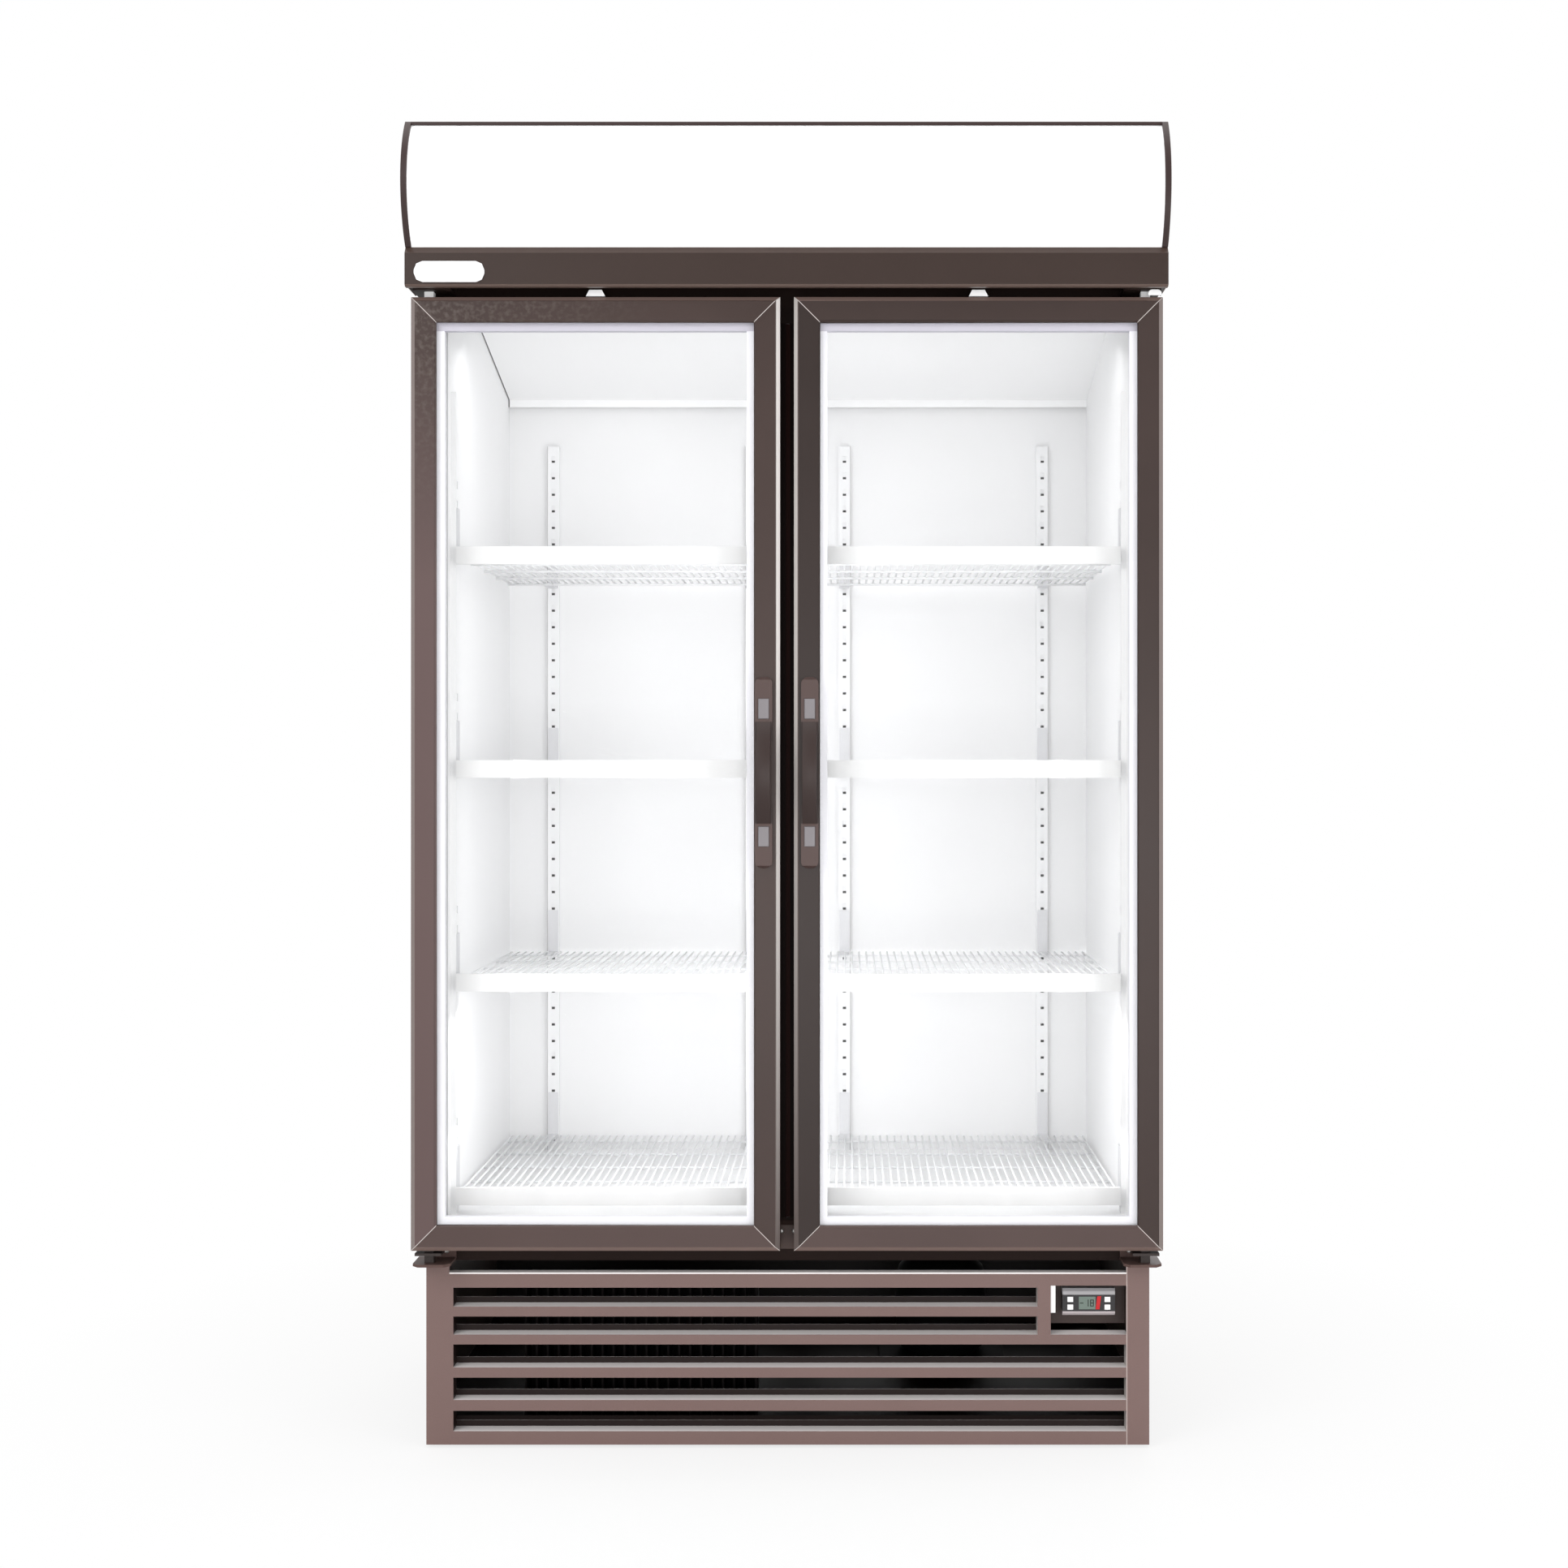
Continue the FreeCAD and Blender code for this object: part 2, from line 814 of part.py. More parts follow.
def base_pan():
    """Steel tray with upturned rims that carries the refrigeration unit."""
    front = grille_y + grille_bar_depth + skin + fit_clearance
    rim_z = pan_top_z + pan_rim
    tray = box(-half_case, half_case, front, back_y - skin, pan_z, rim_z)
    hollow = box(skin - half_case, half_case - skin, front + skin, back_y - 2 * skin, pan_top_z, rim_z + 1)
    return [tray.cut(hollow)]


def levelling_feet():
    """Levelling feet: a fluted pad under a hexagonal stud that meets the pan."""
    x = half_body - foot_inset_x
    feet = []
    for y in (face_y + foot_inset_y, back_y - foot_inset_y):
        pad = nut(x, y, 0, foot_pad_height, foot_radius, foot_sides)
        feet.append(pad.fuse(nut(x, y, foot_pad_height, foot_height, foot_stud_radius)).Solids[0])
    return both(feet)


def rear_cover():
    """Slotted sheet that closes the back of the base, with a round hole for the mains lead."""
    low = pan_top_z + pan_rim
    cover = box(-half_case, half_case, back_y - skin, back_y, pan_z, body_z)
    slots = []
    reach = half_case - rear_slot_margin
    level = low + rear_slot_rise
    while level + rear_slot_pitch + rear_slot_height < body_z:
        high = level + rear_slot_height
        slots += both([box(rear_slot_margin / 2, reach, back_y - 2 * skin, back_y + 1, level, high)])
        level += rear_slot_pitch
    x = half_case - rear_slot_margin / 2
    hole = regular_corners(x, low + rear_slot_pitch, cord_hole_radius, hole_sides)
    slots.append(along_y(hole, back_y - 2 * skin, back_y + 1))
    return [cover.cut(Part.makeCompound(slots))]


def grille_slots():
    """Top and bottom level of each louvre slot, from the top down."""
    level = grille_top + floor_gap - grille_top_bar
    levels = []
    for i, height in enumerate(slot_heights):
        levels.append((level, level - height))
        if i < len(slot_bars):
            level -= height + slot_bars[i]
    return levels


def window_limits():
    """Left, right, bottom and top edges of the controller window."""
    slots = grille_slots()
    right = half_grille - grille_post
    return right - window_width, right, slots[short_slots - 1][1], slots[0][0] + window_raise


def front_grille():
    """Folded louvre panel: side posts, boxed louvre slots with upstands, controller window."""
    top = floor_gap + grille_top
    inner_y = grille_y + skin
    face = box(-half_grille, half_grille, grille_y, inner_y, floor_gap, top)
    post_z = top + grille_post_rise
    posts = both([box(half_grille - grille_post, half_grille, grille_y, inner_y, top, post_z)])
    returns = both([box(half_grille - skin, half_grille, inner_y, face_y, floor_gap, post_z)])
    left = grille_slot_inset - half_grille
    window = window_limits()
    cuts = [box(window[0], window[1], grille_y - 1, inner_y + 1, window[2], window[3])]
    sills = []
    for i, (high, low) in enumerate(grille_slots()):
        right = window[0] - window_gap if i < short_slots else window[1]
        cuts.append(box(left, right, grille_y - 1, inner_y + 1, low, high))
        path = [
            (inner_y, low),
            (grille_y + grille_bar_depth, low),
            (grille_y + grille_bar_depth, low + grille_upstand),
        ]
        sills.append(along_x(folded(path, -skin), left - skin, right + skin))
        for x in (left - skin, right):
            sills.append(box(x, x + skin, inner_y, grille_y + grille_bar_depth, low, high))
    ledge_path = [(inner_y, window[2]), (grille_y + grille_bar_depth, window[2])]
    sills.append(along_x(folded(ledge_path, -skin), window[0] - skin, window[1] + skin))
    top_path = [(inner_y, top), (face_y, top)]
    sills.append(along_x(folded(top_path, -skin), -half_grille, half_grille))
    panel = face.cut(Part.makeCompound(cuts))
    return [panel.multiFuse(posts + returns + sills).removeSplitter().Solids[0]]


def controller_frame():
    """Left, right, bottom and top edges of the controller's face, and its front plane."""
    left, right, low, high = window_limits()
    x0 = left + controller_side_gap
    top = high - controller_top_gap
    back = grille_y + skin + bracket_depth
    return x0, x0 + controller_width, top - controller_height, top, back - controller_depth


def controller_bracket():
    """Folded channel behind the grille's window that the controller is screwed to."""
    left, right, low, high = window_limits()
    front = grille_y + skin
    back = front + bracket_depth
    path = [
        (left - skin, front),
        (left - skin, back),
        (right + skin, back),
        (right + skin, front),
    ]
    return [along_z(folded(path, skin), low + grille_upstand, high)]


def button_centres():
    """Centres of the four square buttons on the controller's face, by name."""
    x0, x1, low, high, front = controller_frame()
    middle = (x0 + x1) / 2
    level = (low + high) / 2 - button_drop
    names = {}
    for column, side in (("left", -1), ("right", 1)):
        for row, sign in (("upper", 1), ("lower", -1)):
            centre = (middle + side * button_pitch_x / 2, level + sign * button_pitch_z / 2)
            names[column + "_" + row + "_button"] = centre
    return names


def button(centre, grow, proud, length):
    """Block of one button, or with a clearance the pocket that it slides in."""
    x, z = centre
    front = controller_frame()[4] - proud
    half_w = button_width / 2 + grow
    half_h = button_height / 2 + grow
    return box(x - half_w, x + half_w, front, front + length, z - half_h, z + half_h)


def controller_body():
    """Moulded controller case with a bevelled bezel, button pockets and a display recess."""
    x0, x1, low, high, front = controller_frame()
    case = box(x0, x1, front, front + controller_depth, low, high)
    rim = [e for e in case.Edges if e.BoundBox.YMax < front + 0.01 and e.BoundBox.XLength > 1]
    case = case.makeChamfer(controller_bevel, rim)
    middle = (x0 + x1) / 2 - display_shift
    level = (low + high) / 2 - button_drop
    half_w = display_width / 2
    half_h = display_height / 2
    recess = front + display_recess
    cuts = [box(middle - half_w, middle + half_w, front - 1, recess, level - half_h, level + half_h)]
    room = button_length - button_proud + button_travel + button_overrun
    for centre in button_centres().values():
        cuts.append(button(centre, fit_clearance, 0, room))
    return [case.cut(Part.makeCompound(cuts)).Solids[0]]


def shelf_levels_z():
    """Top level of each shelf's front strip, from the lowest up."""
    step = shelf_step_slots * slot_pitch
    return [room_z + first_shelf_top + i * step for i in range(shelf_levels)]


def shelf_limits():
    """Inner end, outer end, front and back of the right-hand bay's shelf."""
    inner = half_mullion + mullion_upright_depth + clip_gauge + fit_clearance
    outer = half_room - upright_depth - clip_gauge - fit_clearance
    return inner, outer, face_y + shelf_front_setback + strip_gauge, room_back_y - shelf_rear_gap


def wire_shelf(strip_top):
    """Welded wire shelf of the right-hand bay: wires from a front bar, laid over cross rods."""
    x0, x1, y0, y1 = shelf_limits()
    top = strip_top - deck_drop
    gaps = round((x1 - x0 - wire) / wire_pitch)
    pitch = (x1 - x0 - wire) / gaps
    comb = [(x0, y0), (x1, y0)]
    for i in range(gaps, -1, -1):
        left = x0 + i * pitch
        comb += [(left + wire, y1), (left, y1)]
        if i > 0:
            comb += [(left, y0 + wire), (left - pitch + wire, y0 + wire)]
    deck = along_z(comb, top - wire, top)
    first = y0 + shelf_rod_front
    step = (y1 - shelf_rod_rear - first) / (shelf_rods - 1)
    rods = []
    for i in range(shelf_rods):
        y = first + i * step
        rods.append(box(x0, x1, y - wire / 2, y + wire / 2, top - 2 * wire, top - wire))
    return [deck] + rods


def front_strips():
    """White price strips along the front of every shelf."""
    x0, x1, y0, y1 = shelf_limits()
    front = y0 - strip_gauge
    strips = []
    for top in shelf_levels_z():
        low = top - strip_height
        path = [
            (front + strip_return, low),
            (front, low),
            (front, top),
            (front + strip_return, top),
        ]
        strips.append(along_x(folded(path, -strip_gauge), x0, x1))
    return both(strips)


def hook_slots(length):
    """Lower edges of the hook slots in an upright of this length."""
    count = int((length - upright_slot_height) / slot_pitch - 0.5)
    return [slot_pitch / 2 + i * slot_pitch for i in range(count + 1)]


def slotted_upright(length, slots):
    """Slotted channel standing on z = 0, its web facing -Y and its legs to the wall."""
    half = upright_width / 2
    path = [(-half, upright_depth), (-half, 0), (half, 0), (half, upright_depth)]
    channel = along_z(folded(path, upright_gauge), 0, length)
    half_slot = upright_slot_width / 2
    cuts = []
    for level in slots:
        cuts.append(box(-half_slot, half_slot, -1, upright_gauge + 1, level, level + upright_slot_height))
    return channel.cut(Part.makeCompound(cuts))


def upright_length():
    """Length of the uprights, from the room's floor to the gap under the ceiling."""
    return room_top_z - upright_top_gap - room_z


def rear_upright_places():
    """Centre lines of the right-hand bay's two rear uprights."""
    return half_mullion + rear_upright_mullion_gap, half_room - rear_upright_wall_gap


def rear_uprights():
    """Four slotted channels on the back wall."""
    strip = slotted_upright(upright_length(), hook_slots(upright_length()))
    placed = []
    for x in rear_upright_places():
        copy = strip.copy()
        copy.translate(FreeCAD.Vector(x, room_back_y - upright_depth, room_z))
        placed.append(copy)
    return both(placed)


def front_uprights():
    """Slotted channels near the doors, on the side walls and on the mullion's flanks."""
    y = face_y + front_upright_setback
    slots = hook_slots(upright_length())
    near_shelves = slots[3::shelf_step_slots] + slots[4::shelf_step_slots]
    wall = slotted_upright(upright_length(), near_shelves)
    wall.rotate(FreeCAD.Vector(0, 0, 0), FreeCAD.Vector(0, 0, 1), -90)
    wall.translate(FreeCAD.Vector(half_room - upright_depth, y, room_z))
    half = upright_width / 2
    flank = box(half_mullion, half_mullion + mullion_upright_depth, y - half, y + half, room_z, lintel_z)
    return both([wall, flank])


def clip(foot):
    """Shelf bracket in (across, up) points: tall plate with a foot turned out under the shelf."""
    rise = deck_drop + clip_rise + clip_gauge
    return folded([(foot, 0), (0, 0), (0, rise)], -clip_gauge)


def shelf_clips():
    """Brackets hooked on the uprights, four under each shelf."""
    y = face_y + front_upright_setback
    half = clip_width / 2
    wall_x = half_room - upright_depth
    flank_x = half_mullion + mullion_upright_depth
    rear_y = room_back_y - upright_depth
    rear_foot = shelf_rear_gap - upright_depth + clip_foot
    clips = []
    for top in shelf_levels_z():
        seat = top - deck_drop - wire - clip_gauge
        side = clip(clip_foot)
        clips.append(along_y([(wall_x - a, seat + b) for a, b in side], y - half, y + half))
        clips.append(along_y([(flank_x + a, seat + b) for a, b in side], y - half, y + half))
        for x in rear_upright_places():
            rear = clip(rear_foot)
            clips.append(along_x([(rear_y - a, seat + b) for a, b in rear], x - half, x + half))
    return both(clips)


def cover_path():
    """Rear lip, slope and front upstand of the evaporator cover as (y, z) points."""
    rear_y = room_back_y - cover_air_slot
    rear_z = room_top_z - cover_rear_height
    front_y = lintel_y + cover_front_setback
    front_z = rear_z + (rear_y - front_y) * math.tan(math.radians(cover_slope))
    return [
        (rear_y, rear_z - cover_rear_lip),
        (rear_y, rear_z),
        (front_y, front_z),
        (front_y, room_top_z),
    ]


def tilt(solid, x, from_front):
    """Set a solid drawn about Z on the cover's slope, at a distance along it from its front."""
    front_y, front_z = cover_path()[2]
    slope = math.radians(cover_slope)
    solid.rotate(FreeCAD.Vector(0, 0, 0), FreeCAD.Vector(1, 0, 0), -cover_slope)
    solid.translate(
        FreeCAD.Vector(x, front_y + from_front * math.cos(slope), front_z - from_front * math.sin(slope))
    )
    return solid


def evaporator_cover():
    """Sloped sheet under the coil with two fan holes, seated on the side walls and the ceiling."""
    path = cover_path()
    reach = half_room - running_clearance
    cover = along_x(folded(path, -cover_gauge), -reach, reach)
    for side in SIDES:
        hole = nut(0, 0, -4 * cover_gauge, 4 * cover_gauge, cover_hole_radius, hole_sides)
        cover = cover.cut(tilt(hole, side * fan_spacing / 2, fan_from_front))
    return [cover.Solids[0]]


def fan_blade(root_radius, tip_radius, depth):
    """Twisted blade along +X from the hub to the tip, with its faces split along one diagonal."""

    def section(radius, angle):
        turn = math.radians(angle)
        half = (depth - blade_thickness) / math.sin(turn) / 2
        corners = []
        for along, thick in ((-half, -0.5), (half, -0.5), (half, 0.5), (-half, 0.5)):
            t = thick * blade_thickness
            across = along * math.cos(turn) - t * math.sin(turn)
            up = along * math.sin(turn) + t * math.cos(turn)
            corners.append((radius, across, depth / 2 + up))
        return corners

    root = section(root_radius, blade_root_angle)
    tip = section(tip_radius, blade_tip_angle)
    faces = [outline(root), outline(tip)]
    for i in range(len(root)):
        j = (i + 1) % len(root)
        faces.append(outline([root[i], root[j], tip[j]]))
        faces.append(outline([root[i], tip[j], tip[i]]))
    return Part.Solid(Part.Shell(faces))


def fan_rotor(radius, hub, depth, bore):
    """Axial rotor about Z, from z = 0 to its depth: bored hub and twisted blades."""
    inner = hub * math.cos(math.pi / hub_sides) - blade_thickness
    blade = fan_blade(inner, radius, depth)
    blades = []
    for i in range(fan_blades):
        copy = blade.copy()
        copy.rotate(FreeCAD.Vector(0, 0, 0), FreeCAD.Vector(0, 0, 1), i * 360 / fan_blades)
        blades.append(copy)
    rotor = nut(0, 0, 0, depth, hub, hub_sides).multiFuse(blades)
    return rotor.cut(rod(0, 0, -1, depth + 1, bore)).Solids[0]


def fan_motor(top, shaft_end):
    """Square motor with eased corners standing on z = top, its shaft reaching to shaft_end."""
    half = motor_size / 2
    inner = half - motor_corner
    block = along_z(
        [
            (half, -inner), (half, inner), (inner, half), (-inner, half),
            (-half, inner), (-half, -inner), (-inner, -half), (inner, -half),
        ],
        top,
        top + motor_height,
    )
    return block.fuse(rod(0, 0, shaft_end, top, motor_shaft_radius)).Solids[0]


def evaporator_fan(side):
    """Rotor in one hole of the evaporator cover."""
    bore = motor_shaft_radius + running_clearance
    rotor = fan_rotor(cover_fan_radius, cover_hub_radius, cover_fan_depth, bore)
    return [tilt(rotor, side * fan_spacing / 2, fan_from_front)]


def motor_strap(hole, seat, rise):
    """Cranked strap over a round hole, drawn about Z, with a square clearance for the shaft."""
    foot = hole + strap_width / 2
    path = [
        (-foot - strap_width / 2, seat),
        (-foot, seat),
        (-hole, rise),
        (hole, rise),
        (foot, seat),
        (foot + strap_width / 2, seat),
    ]
    half = strap_width / 2
    strap = along_y(folded(path, cover_gauge), -half, half)
    shaft = motor_shaft_radius + fit_clearance
    return strap.cut(box(-shaft, shaft, -shaft, shaft, rise - 1, rise + cover_gauge + 1)).Solids[0]


def evaporator_fan_motors():
    """Fan motors with their shafts, each on a strap that bridges its hole."""
    solids = []
    for side in SIDES:
        strap = motor_strap(cover_hole_radius, cover_gauge, strap_rise)
        motor = fan_motor(strap_rise + cover_gauge, 0)
        for solid in (strap, motor):
            solids.append(tilt(solid, side * fan_spacing / 2, fan_from_front))
    return solids


def fin_block(width, run, height, fins, fin):
    """Fin pack of a coil as one comb: upright fins in front of a spine plate at y = run."""
    pitch = (width - fin) / (fins - 1)
    comb = [(width / 2, run), (-width / 2, run)]
    for i in range(fins):
        x = -width / 2 + i * pitch
        comb += [(x, 0), (x + fin, 0)]
        if i < fins - 1:
            comb += [(x + fin, run - coil_spine), (x + pitch, run - coil_spine)]
    return along_z(comb, 0, height)


def evaporator_coil():
    """Finned coil lying on the cover's slope behind the fans."""
    length = 2 * (half_room - coil_wall_gap)
    block = fin_block(length, coil_run, coil_height, coil_fins, coil_fin)
    slope_length = math.hypot(
        cover_path()[1][0] - cover_path()[2][0], cover_path()[1][1] - cover_path()[2][1]
    )
    block.translate(FreeCAD.Vector(0, 0, cover_gauge))
    return [tilt(block, 0, slope_length - coil_run - coil_from_rear)]


def compressor():
    """Hermetic pot with domed shoulders on a foot plate and rubber grommets."""
    grommets = []
    plate_z = pan_top_z + grommet_height
    half_w = compressor_plate_width / 2
    half_d = compressor_plate_depth / 2
    for sx in SIDES:
        for sy in SIDES:
            x = compressor_x + sx * (half_w - grommet_inset)
            y = compressor_y + sy * (half_d - grommet_inset)
            grommets.append(nut(x, y, pan_top_z, plate_z, grommet_radius))
    plate_top = plate_z + compressor_plate
    plate = box(
        compressor_x - half_w, compressor_x + half_w,
        compressor_y - half_d, compressor_y + half_d,
        plate_z, plate_top,
    )
    high = plate_top + compressor_height
    pot = nut(compressor_x, compressor_y, plate_top, high, compressor_radius, compressor_sides)
    rim = [e for e in pot.Edges if e.BoundBox.ZMin > high - fit_clearance]
    pot = pot.makeChamfer(compressor_shoulder, rim)
    return grommets + [plate, pot]


def condenser_y():
    """Front plane of the condenser behind the grille."""
    return face_y + condenser_setback


def condenser_coil():
    """Finned condenser standing on the pan behind the grille."""
    block = fin_block(condenser_width, condenser_depth, condenser_height, condenser_fins, condenser_fin)
    block.translate(FreeCAD.Vector(condenser_x, condenser_y(), pan_top_z))
    return [block]


def fan_centre_z():
    """Height of the condenser fan's axis."""
    return pan_top_z + condenser_height / 2


def face_back(solid, y):
    """Set a solid drawn about Z on the condenser fan's axis, its own Z pointing back."""
    solid.rotate(FreeCAD.Vector(0, 0, 0), FreeCAD.Vector(1, 0, 0), -90)
    solid.translate(FreeCAD.Vector(condenser_x, y, fan_centre_z()))
    return solid


def shroud_back_y():
    """Rear face of the condenser shroud."""
    return condenser_y() + condenser_depth + shroud_rim


def condenser_shroud():
    """Sheet box behind the condenser with a round hole for the fan."""
    half = condenser_width / 2
    y0 = condenser_y() + condenser_depth
    top = pan_top_z + condenser_height
    shell = box(condenser_x - half, condenser_x + half, y0, shroud_back_y(), pan_top_z, top)
    g = shroud_gauge
    hollow = box(
        condenser_x - half + g, condenser_x + half - g, y0 - 1, shroud_back_y() - g, pan_top_z + g, top - g
    )
    hole = nut(0, 0, -3 * g, g, condenser_fan_radius + condenser_hole_gap, hole_sides)
    return [shell.cut(hollow).cut(face_back(hole, shroud_back_y())).Solids[0]]


def condenser_fan():
    """Rotor that draws air through the condenser."""
    bore = motor_shaft_radius + running_clearance
    rotor = fan_rotor(condenser_fan_radius, condenser_hub_radius, condenser_fan_depth, bore)
    return [face_back(rotor, shroud_back_y() - condenser_fan_depth / 2)]


def condenser_fan_motor():
    """Fan motor with its shaft on a strap across the back of the shroud."""
    strap = motor_strap(condenser_fan_radius + condenser_hole_gap, 0, condenser_fan_depth)
    motor = fan_motor(condenser_fan_depth + cover_gauge, -condenser_fan_depth / 2)
    return [face_back(solid, shroud_back_y()) for solid in (strap, motor)]


os.makedirs("parts", exist_ok=True)

export("outer_case", outer_case())
export("rear_panel", [box(-half_body, half_body, back_y - skin, back_y, body_z, roof_z)])
export("foam_core", foam_core())
export("inner_liner", inner_liner())
export("face_frame", face_frame())
export("centre_mullion", centre_mullion())
export("mullion_foot", mullion_foot())
export("interior_lamp", interior_lamp())
export("header_rail", header_rail())
export("sign_panel", sign_panel())
export("canopy_end_caps", canopy_end_caps())
export("canopy_cover", canopy_cover())
export("canopy_lamp", canopy_lamp())

door_pieces = {
    "door_frame": door_frame(),
    "door_panes": door_panes(),
    "door_spacer": door_spacer(),
    "door_gasket": door_gasket(),
    "door_handle": door_handle(),
    "handle_caps": handle_caps(),
    "hinge_bushes": hinge_bushes(),
}
for hand, side in (("left_", -1), ("right_", 1)):
    for piece, solids in door_pieces.items():
        export(hand + piece, mirrored(solids, side))

export("upper_hinge_plates", upper_hinge_plates())
export("lower_hinge_plates", lower_hinge_plates())
export("door_switches", door_switches())
export("base_side_panels", base_side_panels())
export("base_pan", base_pan())
export("levelling_feet", levelling_feet())
export("rear_cover", rear_cover())
export("front_grille", front_grille())
export("controller_bracket", controller_bracket())
export("controller_body", controller_body())
for name, centre in button_centres().items():
    export(name, [button(centre, 0, button_proud, button_length)])

for name, level in zip(("floor", "lower", "middle", "upper"), shelf_levels_z()):
    export(name + "_shelves", both(wire_shelf(level)))
export("shelf_front_strips", front_strips())
export("rear_uprights", rear_uprights())
export("front_uprights", front_uprights())
export("shelf_clips", shelf_clips())

export("evaporator_cover", evaporator_cover())
export("evaporator_coil", evaporator_coil())
export("evaporator_fan_motors", evaporator_fan_motors())
export("left_evaporator_fan", evaporator_fan(-1))
export("right_evaporator_fan", evaporator_fan(1))
export("compressor", compressor())
export("condenser_coil", condenser_coil())
export("condenser_shroud", condenser_shroud())
export("condenser_fan_motor", condenser_fan_motor())
export("condenser_fan", condenser_fan())
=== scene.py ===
import math

import bmesh
import bpy
from mathutils import Matrix, Vector


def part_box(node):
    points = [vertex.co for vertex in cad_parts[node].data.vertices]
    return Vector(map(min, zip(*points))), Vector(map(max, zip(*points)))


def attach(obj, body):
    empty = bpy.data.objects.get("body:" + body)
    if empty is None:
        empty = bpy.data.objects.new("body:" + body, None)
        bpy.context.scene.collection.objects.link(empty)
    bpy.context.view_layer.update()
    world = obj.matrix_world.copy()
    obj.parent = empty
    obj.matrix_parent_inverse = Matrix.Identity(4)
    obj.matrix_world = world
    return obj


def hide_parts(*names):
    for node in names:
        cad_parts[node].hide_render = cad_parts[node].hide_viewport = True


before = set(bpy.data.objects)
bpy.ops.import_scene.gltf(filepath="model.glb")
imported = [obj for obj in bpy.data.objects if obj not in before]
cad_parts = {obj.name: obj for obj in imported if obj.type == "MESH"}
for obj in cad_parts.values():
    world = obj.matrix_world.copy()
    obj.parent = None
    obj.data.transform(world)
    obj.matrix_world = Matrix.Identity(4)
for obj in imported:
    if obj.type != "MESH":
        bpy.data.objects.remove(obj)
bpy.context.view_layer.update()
bpy.context.scene.view_settings.view_transform = "Standard"


# Base pan: a steel tray with upturned rims that carries the refrigeration unit.
# It is pressed from sheet and stoved in a thin black paint that shows slight clouding.
class Value:
    """A shader socket that can be used in sums."""

    def __init__(self, nodes, socket):
        self.nodes = nodes
        self.socket = socket

    def sum(self, operation, first, second=0.0):
        return self.nodes.add("ShaderNodeMath", {"operation": operation}, {0: first, 1: second})

    def __add__(self, other):
        return self.sum("ADD", self, other)

    def __radd__(self, other):
        return self.sum("ADD", other, self)

    def __sub__(self, other):
        return self.sum("SUBTRACT", self, other)

    def __rsub__(self, other):
        return self.sum("SUBTRACT", other, self)

    def __mul__(self, other):
        return self.sum("MULTIPLY", self, other)

    def __rmul__(self, other):
        return self.sum("MULTIPLY", other, self)

    def __pow__(self, exponent):
        return self.sum("POWER", self, exponent)

    def __gt__(self, other):
        return self.sum("GREATER_THAN", self, other)

    def __lt__(self, other):
        return self.sum("LESS_THAN", self, other)

    def __abs__(self):
        return self.sum("ABSOLUTE", self)

    def least(self, other):
        return self.sum("MINIMUM", self, other)

    def most(self, other):
        return self.sum("MAXIMUM", self, other)

    def remainder(self, pitch):
        return self.sum("FLOORED_MODULO", self, pitch)


class Nodes:
    """A node tree that grows one node at a time."""

    def __init__(self, tree):
        self.tree = tree

    def add(self, kind, settings, sockets, output=0):
        made = self.tree.nodes.new(kind)
        for key, value in settings.items():
            setattr(made, key, value)
        for key, value in sockets.items():
            self.join(made.inputs[key], value)
        return Value(self, made.outputs[output])

    def join(self, socket, value):
        if isinstance(value, Value):
            self.tree.links.new(value.socket, socket)
        else:
            socket.default_value = value


class Finish(Nodes):
    """One material, built round a Principled shader whose plain values are set on its sockets."""

    def __init__(self, name, **plain):
        self.material = bpy.data.materials.new(name)
        self.material.use_nodes = True
        super().__init__(self.material.node_tree)
        self.shader = self.tree.nodes["Principled BSDF"]
        for socket, value in plain.items():
            self.shader.inputs[socket.replace("_", " ")].default_value = value
        self.place = self.add("ShaderNodeTexCoord", {}, {}, "Object")

    def feed(self, socket, value):
        self.join(self.shader.inputs[socket], value)

    def paint(self, colour):
        """Set the colour all over."""
        self.colour = colour
        self.feed("Base Color", colour)

    def mark(self, mask, colour):
        """Lay a colour over the one beneath it, where the mask is 1."""
        self.paint(self.mix(mask, self.colour, colour + (1.0,)))

    def mix(self, share, first, second):
        """Colour between two colours."""
        return self.add("ShaderNodeMix", {"data_type": "RGBA"}, {0: share, 6: first, 7: second}, 2)

    def axis(self, name):
        return self.add("ShaderNodeSeparateXYZ", {}, {0: self.place}, name)

    def facing(self, name):
        """How far the surface faces along an axis."""
        normal = self.add("ShaderNodeNewGeometry", {}, {}, "Normal")
        return self.add("ShaderNodeSeparateXYZ", {}, {0: normal}, name)

    def noise(self, scale, detail=3.0, stretch=(1.0, 1.0, 1.0)):
        where = self.add("ShaderNodeMapping", {}, {"Vector": self.place, "Scale": stretch})
        return self.add("ShaderNodeTexNoise", {}, {"Vector": where, "Scale": scale, "Detail": detail})

    def bump(self, height, strength, distance):
        relief = {"Height": height, "Strength": strength, "Distance": distance}
        self.feed("Normal", self.add("ShaderNodeBump", {}, relief))


def tone(colour, factor):
    """The colour made darker or lighter, with full alpha."""
    return tuple(min(1.0, c * factor) for c in colour) + (1.0,)


def dress(finish, *names):
    """Give CAD nodes this finish."""
    for name in names:
        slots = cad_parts[name].data.materials
        slots.clear()
        slots.append(finish.material)


